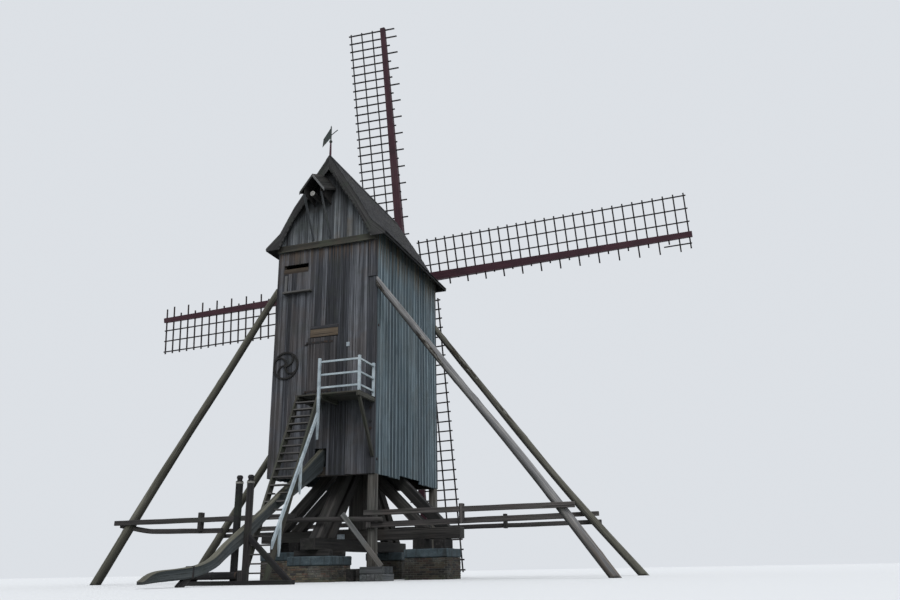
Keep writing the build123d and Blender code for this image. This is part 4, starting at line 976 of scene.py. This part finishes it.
def cornerProps():
    k = propForm
    parts = []
    for propLow, padLow, padHigh in k["props"]:
        parts.append(sawn(at(k["left"], propLow, k["padTop"]), at(k["right"], propLow + k["size"], k["top"]),
                          width=0.014, amount=0.010))
        for x0, x1 in pairs(boardPlaces(k["padLeft"], k["padRight"] - 0.10, 0.26, 0.12)):
            parts.append(sawn(at(x0 + 0.004, padLow + dice.uniform(0, 0.02), 0),
                              at(x1 - 0.004, padHigh, k["layerTop"]), width=0.012, number=1))
        for y0, y1 in pairs(boardPlaces(padLow, padHigh, 0.27, 0.12)):
            parts.append(sawn(at(k["padLeft"] + dice.uniform(0, 0.03), y0 + 0.004, k["layer"]),
                              at(k["padRight"] - dice.uniform(0.08, 0.14), y1 - 0.004, k["padTop"]),
                              width=0.012, number=1))
    for x in k["bearers"]:
        right, joint = x + k["bearerWide"], k["bearerJoint"]
        parts.append(sawn(at(x, k["bearerFront"], joint), at(right, k["bearerBack"], k["bearerTop"]),
                          width=0.014, number=2))
        parts.append(sawn(at(x, k["bearerFront"], 0), at(right, k["lowerBack"], joint - 0.002), width=0.014,
                          number=2))
    parts.append(sawn(*(at(*corner) for corner in k["kerb"]), width=0.010, number=2))
    parts.append(beam(*(at(*end) for end in k["brace"]), *k["braceSize"], number=3))
    timberPiece("cornerProps", parts, [woods[name] for name in ("propWood", "padWood", "oldOakAndUnderShade", "paleRail")],
                ["corner_props"])


tailBeamForm = dict(wide=0.200, strapY=-9.440, strapHalf=0.035, strapX=0.106, strapLow=0.195, strapTop=0.478,
                    chockY=(-9.880, -9.450), chockZ=(-0.040, 0.260), chockSize=(0.100, 0.170),
                    top=((-2.700, 4.270), (-4.200, 3.290), (-5.480, 2.515), (-6.250, 2.035), (-7.180, 1.520),
                         (-8.000, 1.065), (-8.570, 0.690), (-9.120, 0.510), (-9.750, 0.432), (-10.760, 0.350),
                         (-11.210, 0.150)),
                    low=((-2.955, 3.370), (-4.500, 2.610), (-6.080, 1.800), (-7.000, 1.210), (-7.970, 0.720),
                         (-8.500, 0.430), (-9.090, 0.265), (-9.680, 0.180), (-10.760, 0.120),
                         (-11.200, 0.085)))


def tailBeam():
    k = tailBeamForm
    trunk = bentTimber(k["top"], k["low"], k["wide"], lambda y, z, off: at(off, y, z), stations=80,
                       edge=0.026, amount=0.012, tone=0.5)
    ends = [at(0, y, z) for y, z in zip(k["chockY"], k["chockZ"])]
    chock = groundCut(beam(*ends, *k["chockSize"], number=1))
    strap = sawn(at(-k["strapX"], k["strapY"] - k["strapHalf"], k["strapLow"]),
                 at(k["strapX"], k["strapY"] + k["strapHalf"], k["strapTop"]), width=0.004, amount=0,
                 number=2)
    timberPiece("tailBeam", [trunk, chock, strap], [woods["tailBeam"], woods["winchWood"], ironFinish],
                ["tail_beam"])


winchForm = dict(y=-7.300, postX=0.175, half=0.075, shoulder=2.700, height=2.850, neck=(2.690, 2.760),
                 headFoot=2.735, ring=(2.620, 2.672), strutTop=1.250, strutX=1.500, strutFoot=0.058,
                 strutSize=(0.110, 0.138), soleX=1.650, soleTop=0.110, neckIn=0.020, ringOut=0.003,
                 soles=((-7.575, -7.405), (-7.395, -7.225)), bearingTop=0.370, hoopIn=0.040, hoopHalf=0.022,
                 bearings=((-1.650, -7.575, -1.500, -7.425), (0.100, -7.575, 0.250, -7.300)),
                 drumY=-7.500, drumZ=0.240, drumLeft=-1.495, drumRight=0.095, drumRadius=0.100, hoops=0.003,
                 middleHoop=-0.700, journals=((-1.650, -1.490), (0.090, 0.170)), journalRadius=0.044)


def winch():
    k = winchForm
    y = k["y"]

    def upright(x, grow, low, high, **extra):
        reach = k["half"] + grow
        return sawn(at(x - reach, y - reach, low), at(x + reach, y + reach, high), **extra)

    def turned(x0, x1, radius, **extra):
        return roundTimber(at(x0, k["drumY"], k["drumZ"]), at(x1, k["drumY"], k["drumZ"]), radius, **extra)

    parts = []
    for side in (-1, 1):
        x = side * k["postX"]
        strut = (at(x, y, k["strutTop"]), at(side * k["strutX"], y, k["strutFoot"]), *k["strutSize"])
        parts += [upright(x, 0, 0, k["shoulder"], width=0.010, amount=0.006),
                  upright(x, -k["neckIn"], *k["neck"], width=0.010, amount=0, tone=0.1),
                  upright(x, 0, k["headFoot"], k["height"], width=0.042, amount=0, tone=0.1),
                  upright(x, k["ringOut"], *k["ring"], width=0.003, amount=0, number=1),
                  groundCut(beam(*strut, width=0.010))]
    for y0, y1 in k["soles"]:
        parts.append(sawn(at(-k["soleX"] + dice.uniform(0, 0.05), y0, 0),
                          at(k["soleX"] - dice.uniform(0, 0.05), y1, k["soleTop"]), width=0.010))
    for x0, y0, x1, y1 in k["bearings"]:
        parts.append(sawn(at(x0, y0, 0), at(x1, y1, k["bearingTop"]), width=0.012))
    timberPiece("winchFrame", parts, [woods["winchWood"], woods["paleEnd"]], ["winch_frame"])

    left, right, radius, hoops = k["drumLeft"], k["drumRight"], k["drumRadius"], k["hoops"]
    drum = [turned(left, right, radius - hoops, sides=24, amount=0.003)]
    half = k["hoopHalf"]
    for x in (left + k["hoopIn"], right - k["hoopIn"], k["middleHoop"]):
        drum.append(turned(x - half, x + half, radius + hoops, sides=24, amount=0, number=1))
    for x0, x1 in k["journals"]:
        drum.append(turned(x0, x1, k["journalRadius"], amount=0, number=1))
    timberPiece("winchDrum", drum, [woods["winchWood"], ironFinish], ["winch_drum"],
                body="drum")


platformForm = dict(left=-0.350, right=1.930, front=-4.200, wall=-3.015, top=5.700, deck=0.045, joist=0.120,
                    middleJoist=0.480, boardWide=0.170,
                    brace=((1.8675, -3.005, 3.795), (1.8675, -4.095, 5.550)), braceSize=(0.095, 0.105))


def platform():
    k = platformForm
    under = k["top"] - k["deck"]
    parts = []
    for y0, y1 in pairs(boardPlaces(k["front"], k["wall"], k["boardWide"], 0.12)):
        parts.append(sawn(at(k["left"] + dice.uniform(0, 0.012), y0 + 0.003, under),
                          at(k["right"] - dice.uniform(0, 0.012), y1 - 0.003, k["top"]), width=0.004))
    for x in (k["left"], k["middleJoist"], k["right"] - k["joist"]):
        parts.append(sawn(at(x, k["front"] + 0.004, under - k["joist"]),
                          at(x + k["joist"], k["wall"], under)))
    parts.append(beam(*(at(*end) for end in k["brace"]), *k["braceSize"], width=0.008))
    timberPiece("platformDeck", parts, woods["ladderWood"], ["platform"])


hoodForm = dict(x=-0.190, front=-3.975, gable=-3.075, ridge=13.770, eave=13.125, half=0.490, rise=0.400,
                shell=0.0744, boards=4, edgeOut=0.014, edgeThick=0.026, edgeDeep=0.115, cheek=0.335,
                cheekIn=0.060, cheekFoot=12.900, cheekThick=0.030, strutFoot=11.600, strutSize=(0.070, 0.068),
                beamX=-0.220, beamZ=13.050, beamIn=0.120, beamRadius=0.095)


def hoistHood():
    k = hoodForm
    fall = k["ridge"] - k["eave"]
    parts = []

    def strip(side, s0, s1, y, above, below):
        # four corners on the front of a slope, from one share of it to another
        return [at(k["x"] + side * k["half"] * share, y, k["ridge"] - fall * share - drop)
                for share, drop in ((s0, above), (s1, above), (s1, below), (s0, below))]

    for side in (-1, 1):
        for number in range(k["boards"]):
            s0, s1 = number / k["boards"] + 0.003, (number + 1) / k["boards"] - 0.003
            parts.append(drawnOut(strip(side, s0, s1, k["front"] + dice.uniform(0, 0.015), 0, k["shell"]),
                                  (0, k["gable"] - k["front"], k["rise"]), number=2))
        parts.append(drawnOut(strip(side, 0, 1, k["front"] - k["edgeOut"], -0.004, k["edgeDeep"]),
                              (0, k["edgeThick"], 0), number=1 if side > 0 else 0,
                              along=(side * k["half"], 0, -fall)))
        x = k["x"] + side * k["cheek"]
        front = k["front"] + k["cheekIn"]
        top = k["ridge"] - fall / k["half"] * k["cheek"] - k["shell"] / 2
        parts.append(drawnOut([at(x, front, k["eave"] - 0.060), at(x, front, top + 0.020),
                               at(x, k["gable"], top + k["rise"]), at(x, k["gable"], k["cheekFoot"])],
                              (-side * k["cheekThick"], 0, 0), number=2, along=(0, 0, 1), width=0.003))
        parts.append(beam(at(x, k["gable"] + 0.010, k["strutFoot"]), at(x, front + 0.010, k["eave"] - 0.085),
                          *k["strutSize"], number=3))
    log = roundTimber(at(k["beamX"], k["gable"], k["beamZ"]),
                      at(k["beamX"], k["front"] + k["beamIn"], k["beamZ"]),
                      k["beamRadius"], sides=24, amount=0, number=2)
    for f in log.faces:
        f.normal_update()
        if f.normal.y < -0.8:            # the sawn end
            f.material_index = 4
    parts.append(log)
    timberPiece("hoistHood", parts,
                [woods[name] for name in ("verge", "fascia", "oldOakAndUnderShade", "gableBoards", "paleEnd")],
                ["hoist_hood"])


# Small dark plates along the notched edge of the bargeboards, painted shadow in the notches
bargeEdge = dict(face=-3.296, pitch=0.180, half=0.033, tall=0.0594, thick=0.006, up=0.028, hoodX=-0.19,
                 hoodHalf=0.52,
                 points=((0.090, 14.240), (1.270, 12.400), (1.800, 11.350)))


def notchShadowPlates():
    k = bargeEdge
    parts = []
    for side in (-1, 1):
        for a, b in pairs([Vector(k["points"][0])] + [Vector((side * x, z)) for x, z in k["points"][1:]]):
            way = (b - a).normalized()
            up = Vector((way.y, -way.x)) * (-side)
            up = up if up.y > 0 else -up
            count = int((b - a).length / k["pitch"])
            for number in range(count):
                spot = a + way * (number + 0.5) * (b - a).length / count + up * k["up"]
                if abs(spot.x - k["hoodX"]) < k["hoodHalf"]:
                    continue             # the hood covers this stretch
                ends = [at(p.x, k["face"], p.y) for p in (spot - way * k["half"], spot + way * k["half"])]
                parts.append(beam(*ends, k["tall"], k["thick"], up=(0, 1, 0), width=0.002, amount=0,
                                  tone=0.05))
    timberPiece("vergeNotchShadows", parts, woods["wheelWoodAndNotchShadow"])


# Iron on the poll and stocks. Each band has its place along the stock and how much wider it is than the wood.
hubForm = dict(y=4.200, z=12.380, rise=8.9, turn=1.65, spacing=0.350, wide=0.360, thick=0.320, square=0.45,
               taperLong=11.95, taperWide=0.140, taperThick=0.150, pollBands=(-0.365, 0.365), pollSize=0.712,
               bandHalf=0.030, pollHalf=0.028, boltShare=0.28, boltOut=0.018, boltRadii=(0.018, 0.013),
               bands=((-1.35, 0.006), (-0.56, 0.014), (-0.43, 0.014), (0.43, 0.014), (0.56, 0.014),
                      (1.35, 0.006)))


def hubIron():
    k = hubForm
    rise, turn = math.radians(k["rise"]), math.radians(k["turn"])
    shaftWay = Vector((0, math.cos(rise), math.sin(rise)))
    sailUp = Vector((0, -math.sin(rise), math.cos(rise)))
    hub = at(0, k["y"], k["z"])
    parts = []
    for number, forward in ((0, -k["spacing"] / 2), (1, k["spacing"] / 2)):
        angle = turn + number * math.pi / 2
        arm = Vector((math.cos(angle), 0, 0)) + sailUp * math.sin(angle)
        across = shaftWay.cross(arm)
        for place, grow in k["bands"]:
            spot = hub + shaftWay * forward + arm * place
            taper = max(0, (abs(place) - k["square"]) / k["taperLong"])
            wide = k["wide"] - k["taperWide"] * taper + grow
            thick = k["thick"] - k["taperThick"] * taper + grow
            parts.append(beam(spot - arm * k["bandHalf"], spot + arm * k["bandHalf"], wide, thick,
                              up=shaftWay, width=0.004, amount=0))
            for share in (-k["boltShare"], k["boltShare"]):
                face = spot + across * wide * share + shaftWay * thick / 2
                parts.append(roundTimber(face, face + shaftWay * k["boltOut"], *k["boltRadii"], sides=8,
                                         step=1, amount=0))
    for place in k["pollBands"]:
        ends = [hub + shaftWay * (place + half) for half in (-k["pollHalf"], k["pollHalf"])]
        parts.append(beam(*ends, k["pollSize"], k["pollSize"], up=sailUp, width=0.030, amount=0))
    timberPiece("hubIron", parts, ironFinish, body="rotor")


# Small things on the walls: bolts have a place and the way they face, plates two corners
wallThings = dict(
    bolts=(((1.776, -3.015, 5.358), (0, -1, 0)), ((1.783, -3.015, 4.908), (0, -1, 0)),
           ((1.787, -3.015, 4.684), (0, -1, 0)), ((1.950, -2.826, 3.704), (1, 0, 0)),
           ((1.950, -2.826, 8.200), (1, 0, 0))),
    washer=dict(back=0.010, out=0.006, radius=0.052), bolt=dict(out=0.026, radii=(0.024, 0.018)),
    sleeve=((0.090, -3.205, 14.790), (0.090, -3.205, 15.350)), sleeveRadii=(0.044, 0.032),
    doorPlaque=((0.851, -3.024, 7.520), (0.971, -3.014, 7.670)),
    trestlePlaque=((-0.665, -0.262, 1.3675), (-0.375, -0.249, 1.5325)),
    lintelUpper=((-0.530, -3.040, 8.245), (0.530, -3.034, 8.360)),
    hatchGapShadowBoard=((-1.700, -3.012, 10.455), (-0.720, -2.996, 10.628)))


def wallDetails():
    k = wallThings

    def plate(name, material, width=0.004, amount=0, tone=None):
        corners = [at(*corner) for corner in k[name]]
        timberPiece(name, [sawn(*corners, width=width, amount=amount, tone=tone)], material)

    bolts, washer, bolt = [], k["washer"], k["bolt"]
    for place, outward in k["bolts"]:
        place, outward = at(*place), Vector(outward)
        bolts.append(roundTimber(place - outward * washer["back"], place + outward * washer["out"],
                                 washer["radius"], sides=12, step=1, amount=0))
        bolts.append(roundTimber(place, place + outward * bolt["out"], *bolt["radii"], sides=8, step=1,
                                 amount=0))
    timberPiece("wallBolts", bolts, ironFinish)
    plate("doorPlaque", plaqueFinish)
    sleeve = roundTimber(*(at(*end) for end in k["sleeve"]), *k["sleeveRadii"], sides=12, amount=0.002)
    timberPiece("vanePostSleeve", [sleeve], stockPaint)
    plate("trestlePlaque", plaqueFinish)
    plate("lintelUpper", woods["doorWood"], width=0.003, tone=0.1)     # its dark upper half
    # a board in the hatch gap, darkened to stand for the shadow inside the gap
    plate("hatchGapShadowBoard", woods["frameOak"], amount=0.002, tone=0.7)


trimWoods = ("band", "tailBoards", "fascia", "lintelWood", "wheelWoodAndNotchShadow", "verge")


def trimFinish(middle):
    # which of the trim woods a board takes, told by its place
    x, z = middle.x, middle.z
    if z > 11:
        return 0                          # band across the gable's foot
    if x > 1.5:
        return 1                          # corner board
    if z > 9.8:
        return 2                          # stick on the hatch
    if z > 9.4:
        return 5                          # hatch sill
    return 3 if x > -0.6 else 4           # lintel board, wheel


# What keeps the CAD solids' form, with its wood or paint and how it is finished
hewnTimbers = (
    (("packing_timbers", "lower_crosstree", "upper_crosstree", "main_post", "right_quarter_bars",
      "breast_quarter_bars", "left_quarter_bars", "tail_quarter_bars"), woods["oldOakAndUnderShade"],
     dict(width=0.018, amount=0.010)),
    (("crown_tree", "corner_posts", "body_beams", "sheers", "shaft_bearings"), woods["frameOak"], {}),
    (("meal_floor", "stone_floor"), woods["frameOak"], dict(width=0, amount=0, along=(1, 0, 0))),
    (("ladder_stringers",), woods["ladderWood"], {}),
    (("ladder_treads",), woods["treadWood"], dict(width=0.005, amount=0.003, along=(1, 0, 0))),
    (("handrails",), whitePaint, dict(width=0.008, amount=0.003)),
    (("bargeboards",), woods["verge"], dict(width=0.004, amount=0, seamsX=(-1.8, -1.27, 0.09, 1.27, 1.8))),
    (("tail_trim",), [woods[name] for name in trimWoods], dict(width=0.004, amount=0, pick=trimFinish)),
    (("windshaft",), woods["frameOak"], dict(body="rotor", amount=0)),
    (("level_stock", "upright_stock"), stockPaint, dict(body="rotor", width=0.008, amount=0)),
    (("right_sail_lattice", "upper_sail_lattice", "left_sail_lattice", "lower_sail_lattice"),
     woods["lattice"], dict(body="rotor", width=0, amount=0)),
)
paintedNodes = (("door_hinges", ironFinish), ("door_pintles", ironFinish), ("vane_pole", vaneFinish),
                ("weathervane", vaneFinish))

for pieceName, wall in crossWalls.items():
    crossWall(pieceName, wall)
sideWall("left_wall", -1)
sideWall("right_wall", 1)
print("walls boarded")
for nodeName, nodeSide in (("left_roof", -1), ("right_roof", 1)):
    roofShingles(nodeName, nodeSide)
print("roof shingled")
for nodeName, bricks in (("left_pier", brickFinish), ("right_pier", darkerBrick), ("tail_pier", brickFinish),
                         ("breast_pier", darkerBrick)):
    pier(nodeName, bricks)
print("piers laid")
for nodeName, log in shores.items():
    shoreLog(nodeName, log)
shoreRails()
print("shores and rails laid")
for build in (cornerProps, tailBeam, winch, platform, hoistHood, notchShadowPlates, hubIron, wallDetails):
    build()
print("tail beam, winch, platform and hood built")
for nodeNames, material, extra in hewnTimbers:
    for nodeName in nodeNames:
        hewn(nodeName, material, **extra)
for nodeName, material in paintedNodes:
    mesh = nodes[nodeName].data
    mesh.materials.clear()
    mesh.materials.append(material)
for nodeName in ("left_roof", "right_roof"):
    hewn(nodeName, woods["shingles"], width=0, amount=0, along=(0, 1, 0))
print("timbers dressed")


# The stage: a pale floor that throws little light back on the mill, a pale backdrop and one soft sun
stageForm = dict(floorHalf=400, floorTone=(0.61, 0.62, 0.63), floorLit=(0.10, 0.11, 0.09, 1),
                 backdropTone=(0.72, 0.75, 0.79, 1), worldLight=(0.93, 0.96, 1.0, 1), worldStrength=1.0,
                 sunStrength=1.8, sunAngle=35, sunTilt=48, sunTurn=35)


def layFloor():
    k = stageForm
    paint = Paint("paleFloor")
    paint.finish(k["floorTone"], 0.9)
    dull = paint.node("ShaderNodeBsdfDiffuse", None, {"Color": k["floorLit"]})
    paint.showTwoWays(dull, Sock(paint, paint.shader.outputs[0]), "Material Output")
    bm = bmesh.new()
    bmesh.ops.create_grid(bm, x_segments=4, y_segments=4, size=k["floorHalf"])
    mesh = bpy.data.meshes.new("floor")
    bm.to_mesh(mesh)
    bm.free()
    mesh.materials.append(paint.material)
    floor = bpy.data.objects.new("floor", mesh)
    bpy.context.scene.collection.objects.link(floor)


def lightUp():
    k = stageForm
    world = bpy.data.worlds.new("backdrop")
    bpy.context.scene.world = world
    world.use_nodes = True
    around = NodeTree(world.node_tree)
    light = world.node_tree.nodes["Background"]
    light.inputs["Color"].default_value = k["worldLight"]
    light.inputs["Strength"].default_value = k["worldStrength"]
    shown = around.node("ShaderNodeBackground", None, {"Color": k["backdropTone"]})
    around.showTwoWays(Sock(around, light.outputs[0]), shown, "World Output")
    data = bpy.data.lights.new("softSun", "SUN")
    data.energy = k["sunStrength"]
    data.angle = math.radians(k["sunAngle"])
    sun = bpy.data.objects.new("softSun", data)
    sun.rotation_euler = (math.radians(k["sunTilt"]), 0, math.radians(k["sunTurn"]))
    bpy.context.scene.collection.objects.link(sun)


viewpoint = dict(place=(12.404, -26.603, 0.276), yaw=18.353, pitch=18.751, roll=-1.014, focal=796.4,
                 width=900, sensor=36)


def setCamera():
    k = viewpoint
    yaw, pitch, roll = (math.radians(k[a]) for a in ("yaw", "pitch", "roll"))
    data = bpy.data.cameras.new("camera")
    data.sensor_width = k["sensor"]
    data.lens = k["focal"] / k["width"] * k["sensor"]
    data.clip_end = 2000
    camera = bpy.data.objects.new("camera", data)
    bpy.context.scene.collection.objects.link(camera)
    turn = (Matrix.Rotation(yaw, 4, "Z") @ Matrix.Rotation(math.pi / 2 + pitch, 4, "X")
            @ Matrix.Rotation(roll, 4, "Z"))
    camera.matrix_world = Matrix.Translation(Vector(k["place"]) + Vector((0, postY, 0))) @ turn
    bpy.context.scene.camera = camera


layFloor()
lightUp()
setCamera()
bpy.context.scene.view_settings.view_transform = "Standard"
